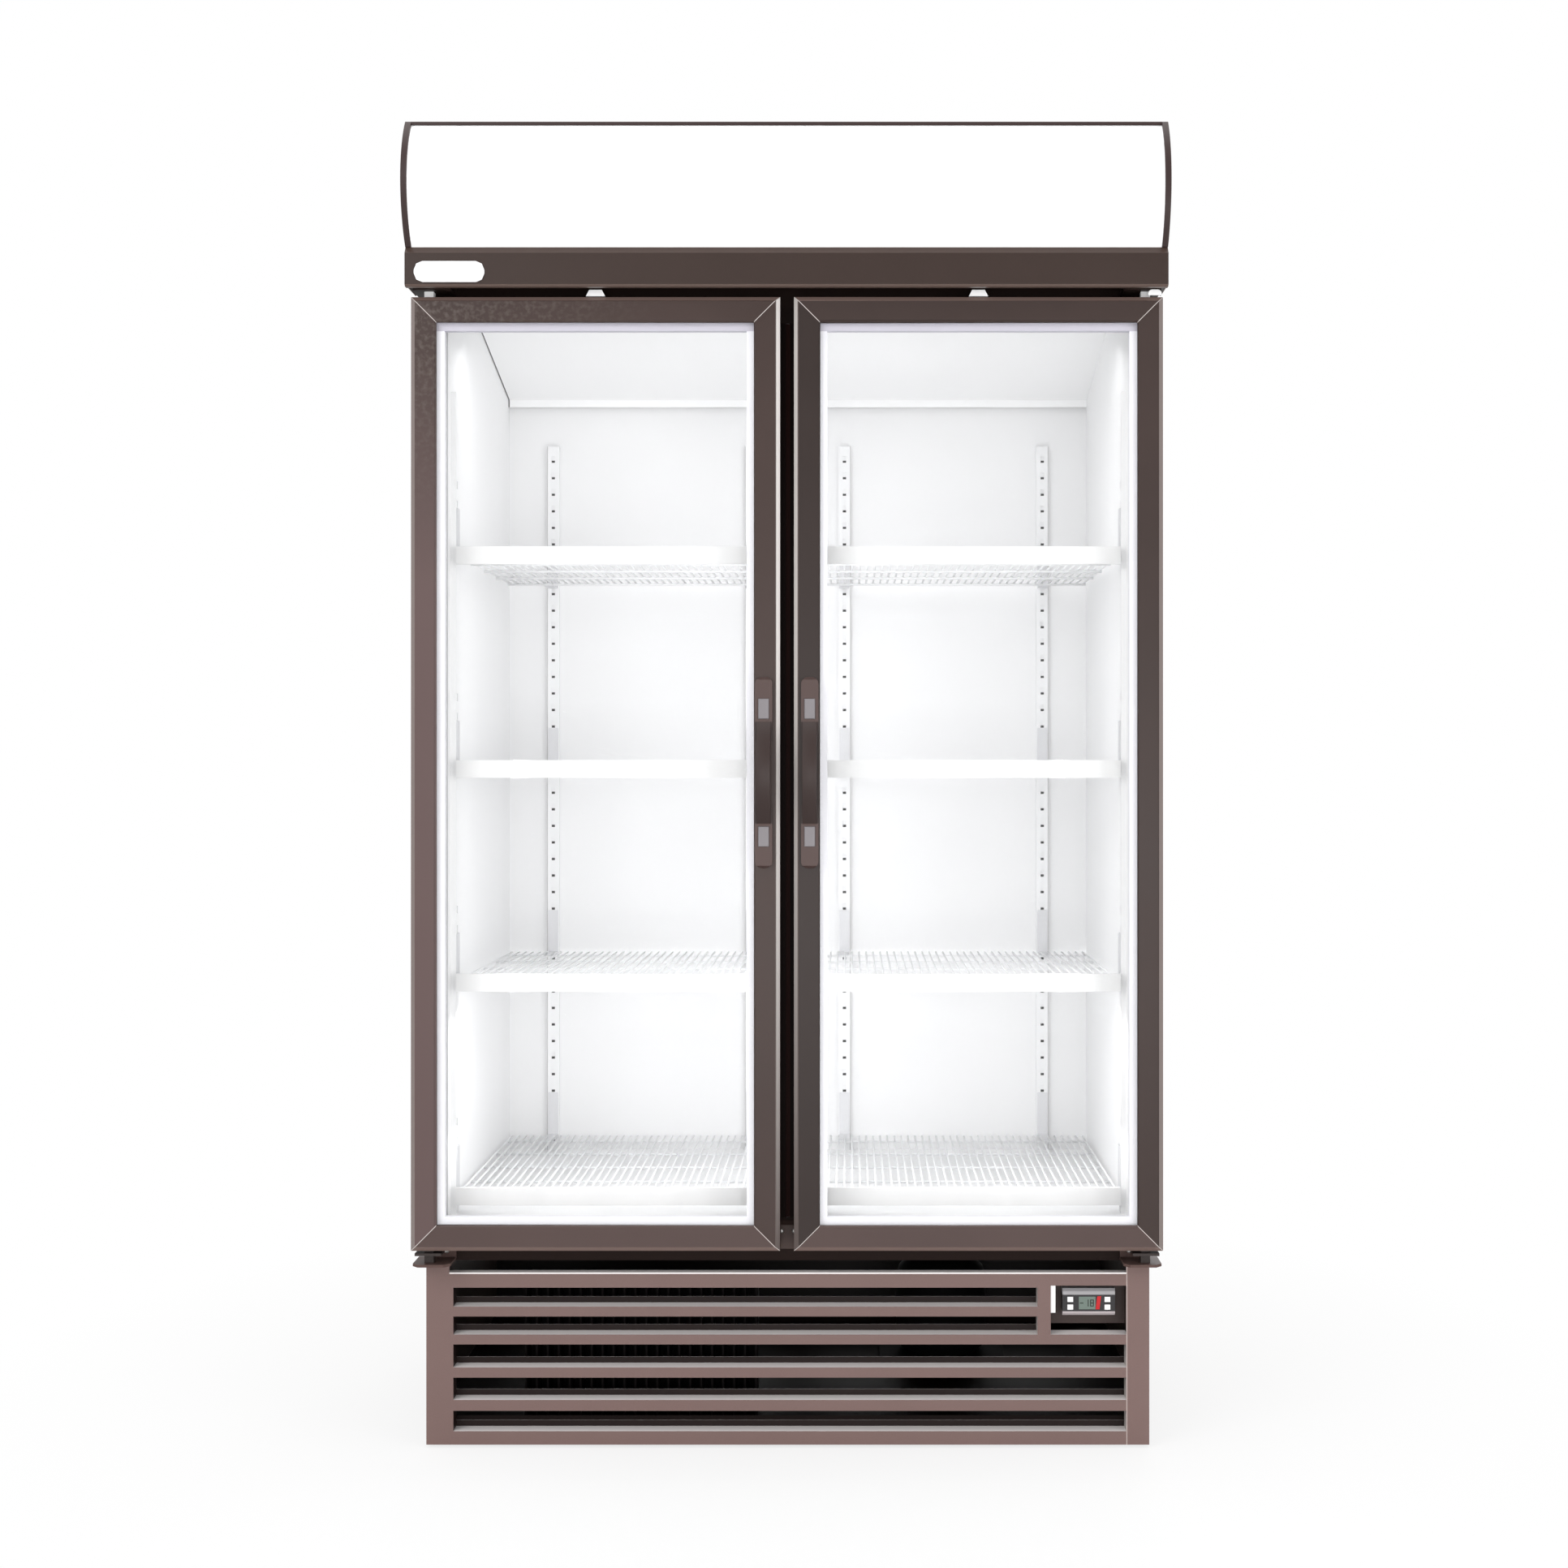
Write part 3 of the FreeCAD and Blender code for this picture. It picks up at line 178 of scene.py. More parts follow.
def sprayed(name, colour, rough=0.4, cloudy=0.14, shine=0.22):
    """Stoved paint: faint orange peel, slight clouding of colour and gloss."""
    finish = Finish(name, Specular_IOR_Level=shine)
    cloud = finish.noise(5.0, 5.0)
    speck = finish.noise(420.0, 2.0)
    sheet = finish.mix(cloud, tone(colour, 1.0 - cloudy), tone(colour, 1.0 + cloudy))
    finish.paint(finish.mix(0.16 * speck, sheet, tone(colour, 1.9)))
    finish.feed("Roughness", rough - 0.08 + 0.16 * cloud)
    finish.bump(finish.noise(520.0, 2.0), 0.1, 0.0003)
    return finish


dress(sprayed("pan_black", (0.008, 0.005, 0.0045), 0.5, shine=0.06), "base_pan")


# Levelling feet: moulded rubber-faced pads on steel studs, screwed up into the base pan.
# The pads are black and dull, a little dusty on their sides.
def dull_rubber(name, colour, chalky):
    """Rubber with a chalky bloom on it."""
    finish = Finish(name, Roughness=0.78)
    bloom = finish.noise(60.0, 5.0)
    finish.paint(finish.mix(bloom, tone(colour, 1.0 - chalky), tone(colour, 1.0 + chalky)))
    finish.bump(finish.noise(700.0), 0.2, 0.0002)
    return finish


dress(dull_rubber("foot_rubber", (0.035, 0.034, 0.034), 0.35), "levelling_feet")


# Outer case and rear panels: sheet steel, stoved in a dark brown satin paint. The case is one wrap
# over the skirts, with an open seam between them. The back is flat sheets with screwed edges, painted near
# black inside as painted shade.
case_brown = (0.05, 0.0345, 0.0305)
seam_black = (0.008, 0.006, 0.005)
seam_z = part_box("outer_case")[0].z
seam_half = 0.0008
case_paint = sprayed("case_paint", case_brown)
case_paint.mark(abs(case_paint.axis("Z") - seam_z) < seam_half, seam_black)
dress(case_paint, "outer_case", "base_side_panels")

back_paint = sprayed("back_paint", case_brown)
back_paint.mark(abs(back_paint.axis("Z") - seam_z) < seam_half, seam_black)
screw_edge = 0.012
screw_pitch = 0.27
screw_head = 0.0042
screw_socket = 0.4 * screw_head
aside = abs(back_paint.axis("X")) - (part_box("rear_panel")[1].x - screw_edge)
above = (back_paint.axis("Z") - screw_edge).remainder(screw_pitch) - screw_pitch / 2
spread = aside * aside + above * above
back_paint.mark((spread < screw_head ** 2) * (spread > screw_socket ** 2), (0.42, 0.41, 0.4))
# Painted shade: faces of the back sheets that face into the base are painted near black.
back_paint.mark(back_paint.facing("Y") < -0.5, (0.006, 0.0035, 0.003))
dress(back_paint, "rear_panel", "rear_cover")


# Face frame: a steel surround that the doors close against, in a nearly black brown.
# A white plastic strip clips round each opening to break the cold path from the liner.
face_paint = sprayed("face_paint", (0.015, 0.0084, 0.007), 0.5, shine=0.06)
opening_low, opening_high = 0.348, 1.714
breaker = 0.0065
aside = abs(face_paint.axis("X"))
beside = (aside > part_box("centre_mullion")[1].x) * (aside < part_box("inner_liner")[1].x + 0.8 * breaker)
level = face_paint.axis("Z")
between = (level > opening_low - breaker) * (level < opening_high + breaker)
face_paint.mark(beside * between, (0.8, 0.8, 0.81))
dress(face_paint, "face_frame")


# Insulation: cream polyurethane foam, closed-cell, hidden between the case and the liner.
# It shows only where a wall is cut, as fine even bubbles.
foam = Finish("cream_foam", Roughness=0.9)
bubbles = foam.add("ShaderNodeTexVoronoi", {}, {"Vector": foam.place, "Scale": 450.0}, "Distance")
foam.paint(foam.mix(bubbles, (0.82, 0.72, 0.48, 1.0), (0.66, 0.55, 0.33, 1.0)))
foam.bump(bubbles, 0.5, 0.001)
dress(foam, "foam_core")


# Compressor: a black hermetic pot of two drawn steel shells welded round the middle,
# bolted through rubber grommets to the pan. Its paint is thick and dull.
def piece(name, bm, finish, body, slot, *stands_for):
    """Make a finished mesh into an object that rides on a body."""
    mesh = bpy.data.meshes.new(name)
    bm.to_mesh(mesh)
    bm.free()
    mesh.materials.append(finish.material)
    made = bpy.data.objects.new(name, mesh)
    bpy.context.scene.collection.objects.link(made)
    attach(made, body)
    if stands_for:
        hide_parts(*stands_for)


def block(bm, low, high):
    """Square-cornered block between two corners."""
    low, high = Vector(low), Vector(high)
    verts = bmesh.ops.create_cube(bm, size=1.0)["verts"]
    bmesh.ops.scale(bm, verts=verts, vec=high - low)
    bmesh.ops.translate(bm, verts=verts, vec=(low + high) / 2)


pot_black = sprayed("pot_black", (0.006, 0.006, 0.006), 0.62, shine=0.03)
unit_low, unit_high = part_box("compressor")
middle = (unit_low + unit_high) / 2
plate_top = unit_low.z + 0.015
plate_thickness = 0.003
plate_half_y = 0.075
pot_top = unit_high.z
pot_radius = 0.077
pot_sides = 48
shoulder_radius = 0.072
weld_radius = pot_radius + 0.001
weld_z = plate_top + 0.089
shell = [
    (0.0, plate_top), (0.06, plate_top), (shoulder_radius, plate_top + 0.012), (pot_radius, plate_top + 0.03),
    (pot_radius, weld_z - 0.004), (weld_radius, weld_z - 0.003),
    (weld_radius, weld_z + 0.003), (pot_radius, weld_z + 0.004),
    (pot_radius, pot_top - 0.04), (shoulder_radius, pot_top - 0.022),
    (0.055, pot_top - 0.006), (0.03, pot_top - 0.0008), (0.0, pot_top),
]
bm = bmesh.new()
rim = [bm.verts.new((middle.x + r, middle.y, z)) for r, z in shell]
lines = [bm.edges.new(pair) for pair in zip(rim, rim[1:])]
bmesh.ops.spin(
    bm, geom=rim + lines, cent=(middle.x, middle.y, 0.0), axis=(0, 0, 1), angle=math.tau,
    steps=pot_sides, use_merge=True,
)
bmesh.ops.remove_doubles(bm, verts=bm.verts, dist=0.00001)
block(
    bm, (unit_low.x, middle.y - plate_half_y, plate_top - plate_thickness),
    (unit_high.x, middle.y + plate_half_y, plate_top),
)
grommet_x, grommet_y = 0.085, 0.055
grommet_foot, grommet_neck = 0.012, 0.01
grommet_height = 0.012
for sx in (-1, 1):
    for sy in (-1, 1):
        grommet = (middle.x + sx * grommet_x, middle.y + sy * grommet_y, unit_low.z + grommet_height / 2)
        bmesh.ops.create_cone(
            bm, cap_ends=True, segments=20, radius1=grommet_foot, radius2=grommet_neck, depth=grommet_height,
            matrix=Matrix.Translation(grommet),
        )
bmesh.ops.recalc_face_normals(bm, faces=bm.faces)
for face in bm.faces:
    face.smooth = len(face.verts) == 4 and abs(face.normal.z) < 0.999
piece("compressor_pot", bm, pot_black, "cabinet", "compressor_black", "compressor")


# Condenser, coil and fans: black-coated fins behind the grille in a dull zinc-coated shroud, bare aluminium
# fins over the cover, and black moulded rotors on small steel motors that hang on folded straps.
def bare_metal(name, colour, rough, stretch=(1.0, 1.0, 1.0), grain=240.0):
    """Unpainted metal with a drawn or brushed grain along the short axis of the stretch."""
    finish = Finish(name, Metallic=1.0)
    lines = finish.noise(grain, 4.0, stretch)
    cloud = finish.noise(9.0)
    finish.paint(finish.mix(cloud, tone(colour, 0.82), tone(colour, 1.12)))
    finish.feed("Roughness", rough - 0.1 + 0.2 * lines)
    finish.bump(lines, 0.12, 0.0002)
    return finish


def moulded(name, colour, rough=0.45, grain=900.0):
    """Moulded plastic: fine spark-eroded grain and a slight flow marbling."""
    finish = Finish(name, Specular_IOR_Level=0.25)
    flow = finish.noise(14.0, 4.0, (1.0, 1.0, 0.3))
    finish.paint(finish.mix(flow, tone(colour, 0.9), tone(colour, 1.1)))
    finish.feed("Roughness", rough - 0.05 + 0.1 * flow)
    finish.bump(finish.noise(grain, 2.0), 0.15, 0.0002)
    return finish


# The shroud's zinc is painted far darker than zinc, nearly black: painted shade inside the base.
zinc = bare_metal("zinc_coat", (0.05, 0.051, 0.052), 0.5)
spangle = zinc.add("ShaderNodeTexVoronoi", {}, {"Vector": zinc.place, "Scale": 90.0}, "Color")
zinc.mark(zinc.add("ShaderNodeSeparateColor", {}, {0: spangle}), (0.085, 0.086, 0.088))
dress(zinc, "condenser_shroud")
dress(sprayed("fin_black", (0.005, 0.004, 0.004), 0.6, shine=0.05), "condenser_coil")
dress(bare_metal("fin_aluminium", (0.68, 0.69, 0.71), 0.34, (1.0, 0.04, 1.0), 500.0), "evaporator_coil")
dress(bare_metal("motor_steel", (0.3, 0.3, 0.31), 0.4), "evaporator_fan_motors", "condenser_fan_motor")
fan_black = moulded("fan_black", (0.03, 0.03, 0.032))
dress(fan_black, "left_evaporator_fan", "right_evaporator_fan", "condenser_fan")


# Inner liner and evaporator cover: white pre-painted sheet, folded into a tank and a sloped tray.
# The paint is clean and satin, and the cover's cut left end shows as a dark line beside the wall.
side_white = (0.93, 0.93, 0.935)
liner_white = sprayed("liner_white", (0.845, 0.845, 0.852), 0.45, 0.02)
# Painted light: faces that don't face front or back (side walls, floor, roof) are painted paler than the back
# wall.
liner_white.mark(abs(liner_white.facing("Y")) < 0.5, side_white)
dress(liner_white, "inner_liner")
cover_white = sprayed("cover_white", side_white, 0.45, 0.02)
cut_edge = 0.0022
cover_white.mark(cover_white.axis("X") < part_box("evaporator_cover")[0].x + cut_edge, (0.12, 0.115, 0.12))
dress(cover_white, "evaporator_cover")


# Centre mullion: a near-black brown post between the doors with a shallow groove down its face,
# a moulded stop block screwed on at its foot and a light bar along its back.
def screw(bm, centre, facing, radius):
    """Domed screw head with a round socket, standing on a surface that faces a direction."""
    out = Vector(facing)
    height = 0.38 * radius
    turn = out.to_track_quat("Z", "Y").to_matrix().to_4x4()
    spot = Matrix.Translation(centre) @ turn @ Matrix.Translation((0.0, 0.0, height / 2))
    made = bmesh.ops.create_cone(
        bm, cap_ends=True, segments=14, radius1=radius, radius2=0.72 * radius, depth=height, matrix=spot
    )
    faces = {f for v in made["verts"] for f in v.link_faces}
    crown = max(faces, key=lambda f: f.calc_center_median().dot(out))
    bmesh.ops.inset_region(bm, faces=[crown], thickness=0.3 * radius)
    bmesh.ops.translate(bm, verts=crown.verts, vec=-0.22 * radius * out)


mullion_paint = sprayed("mullion_paint", (0.005, 0.0012, 0.0008), 0.5, shine=0.06)
groove_half = 0.0034
mullion_paint.mark(abs(mullion_paint.axis("X")) < groove_half, (0.018, 0.004, 0.003))
dress(mullion_paint, "centre_mullion")
dress(moulded("stop_block_brown", (0.06, 0.036, 0.03)), "mullion_foot")
screw_zinc = bare_metal("screw_zinc", (0.5, 0.49, 0.47), 0.35)
foot_low, foot_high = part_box("mullion_foot")
to_front = (0, -1, 0)
stop_screw_x = 0.009
stop_screw_y = foot_low.y + 0.0002
stop_screw_z = foot_high.z - 0.014
stop_screw_radius = 0.0034
bm = bmesh.new()
for x in (-stop_screw_x, stop_screw_x):
    screw(bm, (x, stop_screw_y, stop_screw_z), to_front, stop_screw_radius)
piece("stop_block_screws", bm, screw_zinc, "cabinet", "galvanised")
lamp_lens = Finish("lamp_lens", Roughness=0.3, Emission_Strength=6.0)
haze = lamp_lens.noise(40.0)
lamp_lens.paint(lamp_lens.mix(haze, (0.92, 0.94, 0.97, 1.0), (0.97, 0.98, 1.0, 1.0)))
lamp_lens.feed("Emission Color", lamp_lens.mix(haze, (0.93, 0.96, 1.0, 1.0), (1.0, 1.0, 1.0, 1.0)))
dress(lamp_lens, "interior_lamp", "canopy_lamp")


# Slotted uprights and hook brackets: roll-formed steel strips in white paint, screwed to the walls.
# White backing strips behind the rear strips carry painted shade at each hook slot; the folds get painted
# shade and the front uprights painted light. The brackets are grey.
def ease(bm, edges, width, segments=2):
    """Round over edges."""
    bmesh.ops.bevel(
        bm, geom=edges, offset=width, offset_type="OFFSET", affect="EDGES", segments=segments,
        profile=0.5, material=-1, clamp_overlap=True,
    )


strip_low, strip_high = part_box("rear_uprights")
strip_half = 0.011
inner_strip = 0.084
outer_strip = strip_high.x - strip_half
fold = 0.0012
upright_white = sprayed("upright_white", (0.86, 0.862, 0.87), 0.42, 0.02)
# Painted shade: a grey line along one edge of each strip stands for the shade in its fold.
aside = abs(upright_white.axis("X"))
for centre in (inner_strip, outer_strip):
    edge = centre + strip_half
    upright_white.mark((aside > edge - fold) * (aside < edge + fold), (0.55, 0.54, 0.54))
dress(upright_white, "rear_uprights")
# Painted light: the front uprights take a paler copy of the uprights' white paint.
dress(sprayed("front_upright_white", (0.94, 0.94, 0.945), 0.42, 0.02), "front_uprights")
dress(sprayed("bracket_grey", (0.7, 0.7, 0.72), 0.45, 0.06), "shelf_clips")
slot_shade = Finish("slot_shade_backing", Roughness=0.8)
slot_shade.paint(slot_shade.mix(slot_shade.noise(200.0), (0.84, 0.84, 0.85, 1.0), (0.9, 0.9, 0.91, 1.0)))
slot_pitch = 0.0298
first_slot = 0.3629
slot_half = 0.0042
from_slot = (slot_shade.axis("Z") - first_slot + slot_pitch / 2).remainder(slot_pitch) - slot_pitch / 2
# Painted shade: a dark mark on the backing at each hook slot.
slot_shade.mark(abs(from_slot) < slot_half, (0.035, 0.03, 0.03))
backing_half = 0.0075
backing_front = strip_low.y + 0.002
backing_depth = 0.001
backing_inset = 0.005
bm = bmesh.new()
for x in (-outer_strip, -inner_strip, inner_strip, outer_strip):
    block(
        bm, (x - backing_half, backing_front, strip_low.z + backing_inset),
        (x + backing_half, backing_front + backing_depth, strip_high.z - backing_inset),
    )
ease(bm, bm.edges[:], 0.0002)
piece("upright_slot_shade_backing", bm, slot_shade, "cabinet", "upright_white")


# Wire shelves: round white-coated wires welded over cross rods, one shelf in each bay on four levels.
# The wires run from front to back, and a white moulded price strip clips over the front rod.
def round_bar(bm, start, end, radius, sides):
    """Straight round bar between two points."""
    start, end = Vector(start), Vector(end)
    run = end - start
    turn = run.to_track_quat("Z", "Y").to_matrix().to_4x4()
    bmesh.ops.create_cone(
        bm, cap_ends=True, segments=sides, radius1=radius, radius2=radius, depth=run.length,
        matrix=Matrix.Translation((start + end) / 2) @ turn,
    )


wire_white = sprayed("wire_white", (0.84, 0.845, 0.855), 0.38, 0.03)
wire_pitch = 0.0126
wire_radius = 0.0017
wire_front, wire_back = 0.002, 0.001
rod_radius = 0.002
rod_front, rod_back = 0.004, 0.036
rods = 5
bar_sides = 8
bay_inner = 0.0463
for level in ("floor", "lower", "middle", "upper"):
    node = level + "_shelves"
    low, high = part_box(node)
    wire_z = high.z - wire_radius
    rod_z = wire_z - wire_radius - rod_radius
    span = high.x - bay_inner - 2 * wire_radius
    gaps = round(span / wire_pitch)
    bm = bmesh.new()
    for side in (-1, 1):
        for i in range(gaps + 1):
            x = side * (bay_inner + wire_radius + i * span / gaps)
            front, back = (x, low.y + wire_front, wire_z), (x, high.y - wire_back, wire_z)
            round_bar(bm, front, back, wire_radius, bar_sides)
        for i in range(rods):
            y = low.y + rod_front + i * (high.y - low.y - rod_front - rod_back) / (rods - 1)
            round_bar(bm, (side * bay_inner, y, rod_z), (side * high.x, y, rod_z), rod_radius, bar_sides)
    for face in bm.faces:
        face.smooth = len(face.verts) == 4
    piece(level + "_wire_shelves", bm, wire_white, "cabinet", "wire_white", node)
dress(moulded("strip_white", (0.93, 0.932, 0.935), 0.35), "shelf_front_strips")


# Door glazing: two clear float panes sealed round an aluminium spacer, with a faint green edge.
# The spacer is lilac-grey, painted darker along the top as painted shade, and stands a hair clear of both
# panes, in the sealant.
def merged(node):
    """Copy of a CAD node's mesh with its loose triangles joined up."""
    bm = bmesh.new()
    bm.from_mesh(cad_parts[node].data)
    bmesh.ops.remove_doubles(bm, verts=bm.verts, dist=0.00001)
    bmesh.ops.recalc_face_normals(bm, faces=bm.faces)
    return bm


glass = Finish("float_glass", Roughness=0.02, IOR=1.45)
glass.paint(glass.mix(glass.noise(3.0), (0.86, 0.9, 0.89, 1.0), (0.92, 0.95, 0.94, 1.0)))
slant = glass.add("ShaderNodeLayerWeight", {}, {"Blend": 0.5}, "Facing")
square_alpha, edge_alpha = 0.012, 0.5
glass.feed("Alpha", square_alpha + edge_alpha * slant ** 5.0)
dress(glass, "left_door_panes", "right_door_panes")
spacer = Finish("spacer_grey", Roughness=0.5)
spacer.paint(spacer.mix(spacer.noise(12.0), (0.78, 0.775, 0.82, 1.0), (0.86, 0.855, 0.89, 1.0)))
# Painted shade: along the top bar the spacer is painted darker.
top_bar_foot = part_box("right_door_frame")[1].z - 0.0505
spacer.mark(spacer.axis("Z") > top_bar_foot, (0.52, 0.5, 0.57))
spacer_play = 0.96
for hand in ("left", "right"):
    node = hand + "_door_spacer"
    low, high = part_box(node)
    bm = merged(node)
    from_middle = Matrix.Translation((0.0, -(low.y + high.y) / 2, 0.0))
    bmesh.ops.scale(bm, verts=bm.verts, vec=(1.0, spacer_play, 1.0), space=from_middle)
    piece(hand + "_spacer_bar", bm, spacer, hand + "_door", "spacer_grey", node)


# Door frames: four mitred lengths of one aluminium extrusion, brown on the face, with a grey gasket behind.
# The outer edge is a bevel, painted bright where the doors meet as a painted highlight, and the mitres show
# as thin bare lines. The paint is flecked at the left door's upper corner, and painted light and shade make
# the rails and stiles uneven.
def softened(node, width, segments=2):
    """Copy of a CAD node with its sharp edges rounded over."""
    bm = merged(node)
    bmesh.ops.dissolve_limit(bm, angle_limit=math.radians(0.5), verts=bm.verts, edges=bm.edges)
    sharp = [e for e in bm.edges if e.is_manifold and e.calc_face_angle(0.0) > math.radians(25.0)]
    ease(bm, sharp, width, segments)
    return bm


door_brown = sprayed("door_brown", (0.043, 0.0275, 0.024), 0.36, 0.28)
door_low, door_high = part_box("right_door_frame")
frame_face = 0.039
bevel = 0.007
bright_edge = 0.0055
mitre_half = 0.0007
frame_round = 0.0006
sideways = door_brown.axis("X")
across = abs(sideways)
up = door_brown.axis("Z")
from_side = (across - door_low.x).least(door_high.x - across)
from_end = (up - door_low.z).least(door_high.z - up)
high_share = (up - door_low.z) * (1.0 / (door_high.z - door_low.z))
at_front = door_brown.axis("Y") < door_low.y + bevel + 0.0005
stile = from_side < from_end
upright_edge = (from_side < bevel) * stile * at_front
level_edge = (from_end < bevel) * (1.0 - stile) * at_front
on_left = sideways < 0.0
inner = across < (door_low.x + door_high.x) / 2
bright_growth = 1.7
meeting = inner * (from_side < bright_edge) * (bright_growth * high_share).least(1.0)
pale_growth, pale_top, pale_most = 2.2, 0.95, 0.55
pale_share = (pale_growth * (pale_top - high_share)).least(pale_most).most(0.0)
paler = on_left * stile * (1.0 - inner) * pale_share
dark_share, dark_inner = 0.22, 0.3
darker = (1.0 - on_left) * stile.most(high_share > 0.9) * (dark_share + dark_inner * inner * stile)
fleck_growth, fleck_level, fleck_fade = 3.0, 0.45, 2.5
from_corner = (door_high.x - across) + (door_high.z - up)
flecks = (fleck_growth * (door_brown.noise(130.0, 6.0) - fleck_level)).least(1.0).most(0.0)
worn = on_left * flecks * (1.0 - fleck_fade * from_corner).most(0.0)
mitre = (abs(from_side - from_end) < mitre_half) * (from_side < frame_face) * at_front
# Painted light: the rails are painted lighter towards the foot of the door.
door_brown.mark(0.45 * (1.0 - high_share) * (1.0 - stile), (0.105, 0.07, 0.065))
# Painted light: the left door's outer stile is painted paler, most low down and fading out near the top.
door_brown.mark(paler, (0.15, 0.1, 0.098))
# Painted shade: the right door's stiles and top rail are painted darker, its inner stile most.
door_brown.mark(darker, (0.006, 0.004, 0.0035))
door_brown.mark(worn, (0.12, 0.098, 0.088))
# Painted highlights on the bevels: stile bevels lighter, outer ones more, meeting stiles brightest higher up;
# top and bottom bevels paler.
door_brown.mark(upright_edge, (0.1, 0.078, 0.072))
door_brown.mark(0.5 * (1.0 - inner) * upright_edge, (0.3, 0.25, 0.235))
door_brown.mark(upright_edge * meeting, (0.46, 0.43, 0.41))
door_brown.mark(0.5 * on_left * upright_edge * meeting, (0.8, 0.76, 0.74))
door_brown.mark(level_edge, (0.16, 0.11, 0.096))
door_brown.mark(mitre, (0.5, 0.46, 0.44))
for hand in ("left", "right"):
    node = hand + "_door_frame"
    bars = softened(node, frame_round)
    piece(hand + "_door_frame_bars", bars, door_brown, hand + "_door", "door_frame_paint", node)
dress(dull_rubber("gasket_grey", (0.5, 0.49, 0.5), 0.1), "left_door_gasket", "right_door_gasket")


# Door handles: brown glass-filled nylon, bowed out for the fingers and screwed through two end pads.
# Grey square caps hide the screws; all edges are well rounded in the mould.
handle_brown = moulded("handle_brown", (0.072, 0.046, 0.0415), 0.42, 700.0)
handle_low, handle_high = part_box("right_door_handle")
grip_half = 0.076
handle_round, cap_round = 0.0022, 0.0006
from_middle = abs(handle_brown.axis("Z") - (handle_low.z + handle_high.z) / 2)
handle_brown.mark(from_middle < grip_half, (0.03, 0.018, 0.016))
cap_grey = moulded("cap_grey", (0.2, 0.186, 0.195), 0.42)
for hand in ("left", "right"):
    node = hand + "_door_handle"
    grip = softened(node, handle_round, 3)
    piece(hand + "_grip", grip, handle_brown, hand + "_door", "handle_plastic", node)
    node = hand + "_handle_caps"
    piece(hand + "_screw_caps", softened(node, cap_round), cap_grey, hand + "_door", "cap_grey", node)


# Hinges: folded steel angles in brown paint with riveted pins, under and over the outer door corners.
# The pins run in nylon bushes, white at the top and dark at the foot, and two screws hold each flange.
# One brown paint in two copies: darker on the upper plates as painted shade, lighter on the lower plates as
# painted light.
dress(sprayed("upper_hinge_brown", (0.02, 0.012, 0.01), 0.45, shine=0.1), "upper_hinge_plates")
dress(sprayed("lower_hinge_brown", (0.085, 0.052, 0.046), 0.45, shine=0.12), "lower_hinge_plates")
flange_gauge = 0.0038
flange_screw_rise = 0.013
flange_screw_insets = (0.014, 0.043)
flange_screw_radius = 0.0038
bm = bmesh.new()
for node in ("lower_hinge_plates", "upper_hinge_plates"):
    low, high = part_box(node)
    for inset in flange_screw_insets:
        for side in (-1, 1):
            spot = (side * (high.x - inset), high.y - flange_gauge, low.z + flange_screw_rise)
            screw(bm, spot, to_front, flange_screw_radius)
piece("hinge_screws", bm, screw_zinc, "cabinet", "galvanised")
bush_nylon = moulded("bush_nylon", (0.86, 0.86, 0.86))
half_height = 1.0
bush_nylon.mark(bush_nylon.axis("Z") < half_height, (0.03, 0.022, 0.02))
dress(bush_nylon, "left_hinge_bushes", "right_hinge_bushes")


# Door switches and hinge cap: white mouldings in the gap over the doors. The switches are tapered
# housings clipped into the cabinet's face; the cap clips on the right-hand hinge plate's front edge.
def through_edges(bm):
    """Edges that run from front to back."""
    return [e for e in bm.edges if abs(e.verts[0].co.y - e.verts[1].co.y) > 0.001]


switch_white = moulded("switch_white", (0.88, 0.88, 0.885), 0.4)
dress(switch_white, "door_switches")
plate_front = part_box("upper_hinge_plates")[0].y
cap_low = Vector((0.5425, plate_front - 0.0022, 1.7442))
cap_high = Vector((0.5625, plate_front - 0.0002, 1.7528))
shoulder = 0.006
bm = bmesh.new()
block(bm, cap_low, cap_high)
upper_edges = [e for e in through_edges(bm) if e.verts[0].co.z > (cap_low.z + cap_high.z) / 2]
ease(bm, upper_edges, shoulder, 5)
piece("hinge_cap", bm, switch_white, "cabinet", "switch_white")


# Header rail: a folded steel cover over the doors in dark brown paint, with a sloped ledge on top.
# Its folds are eased, and the sloped ledge and the hem along its foot are painted paler as painted
# highlights.
header_brown = sprayed("header_brown", (0.032, 0.0198, 0.0162), 0.36)
header_low, header_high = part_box("header_rail")
ledge_high = 0.0101
hem_high = 0.0032
level = header_brown.axis("Z")
# Painted highlights: the sloped ledge on top and the hem along the foot are painted paler.
header_brown.mark(level > header_high.z - ledge_high, (0.06, 0.039, 0.032))
header_brown.mark(level < header_low.z + hem_high, (0.1, 0.068, 0.057))
cover = softened("header_rail", frame_round)
piece("header_cover", cover, header_brown, "cabinet", "header_paint", "header_rail")


# Badge plate: a plain white plate with clipped ends at the left of the header.
# It is a thin plastic moulding with a raised rim, stuck on with tape.
badge_white = moulded("badge_white", (0.88, 0.88, 0.9), 0.32)
badge_centre = Vector((-0.503, header_low.y - 0.0012, 1.7745))
badge_half = Vector((0.0525, 0.0013, 0.0155))
badge_corner = 0.0128
rim_width, rim_height = 0.0014, 0.0007
bm = bmesh.new()
block(bm, badge_centre - badge_half, badge_centre + badge_half)
ease(bm, through_edges(bm), badge_corner)
front = min(bm.faces, key=lambda f: f.calc_center_median().y)
bmesh.ops.inset_region(bm, faces=[front], thickness=rim_width)
bmesh.ops.translate(bm, verts=front.verts, vec=(0.0, rim_height, 0.0))
piece("badge_plate", bm, badge_white, "cabinet", "switch_white")


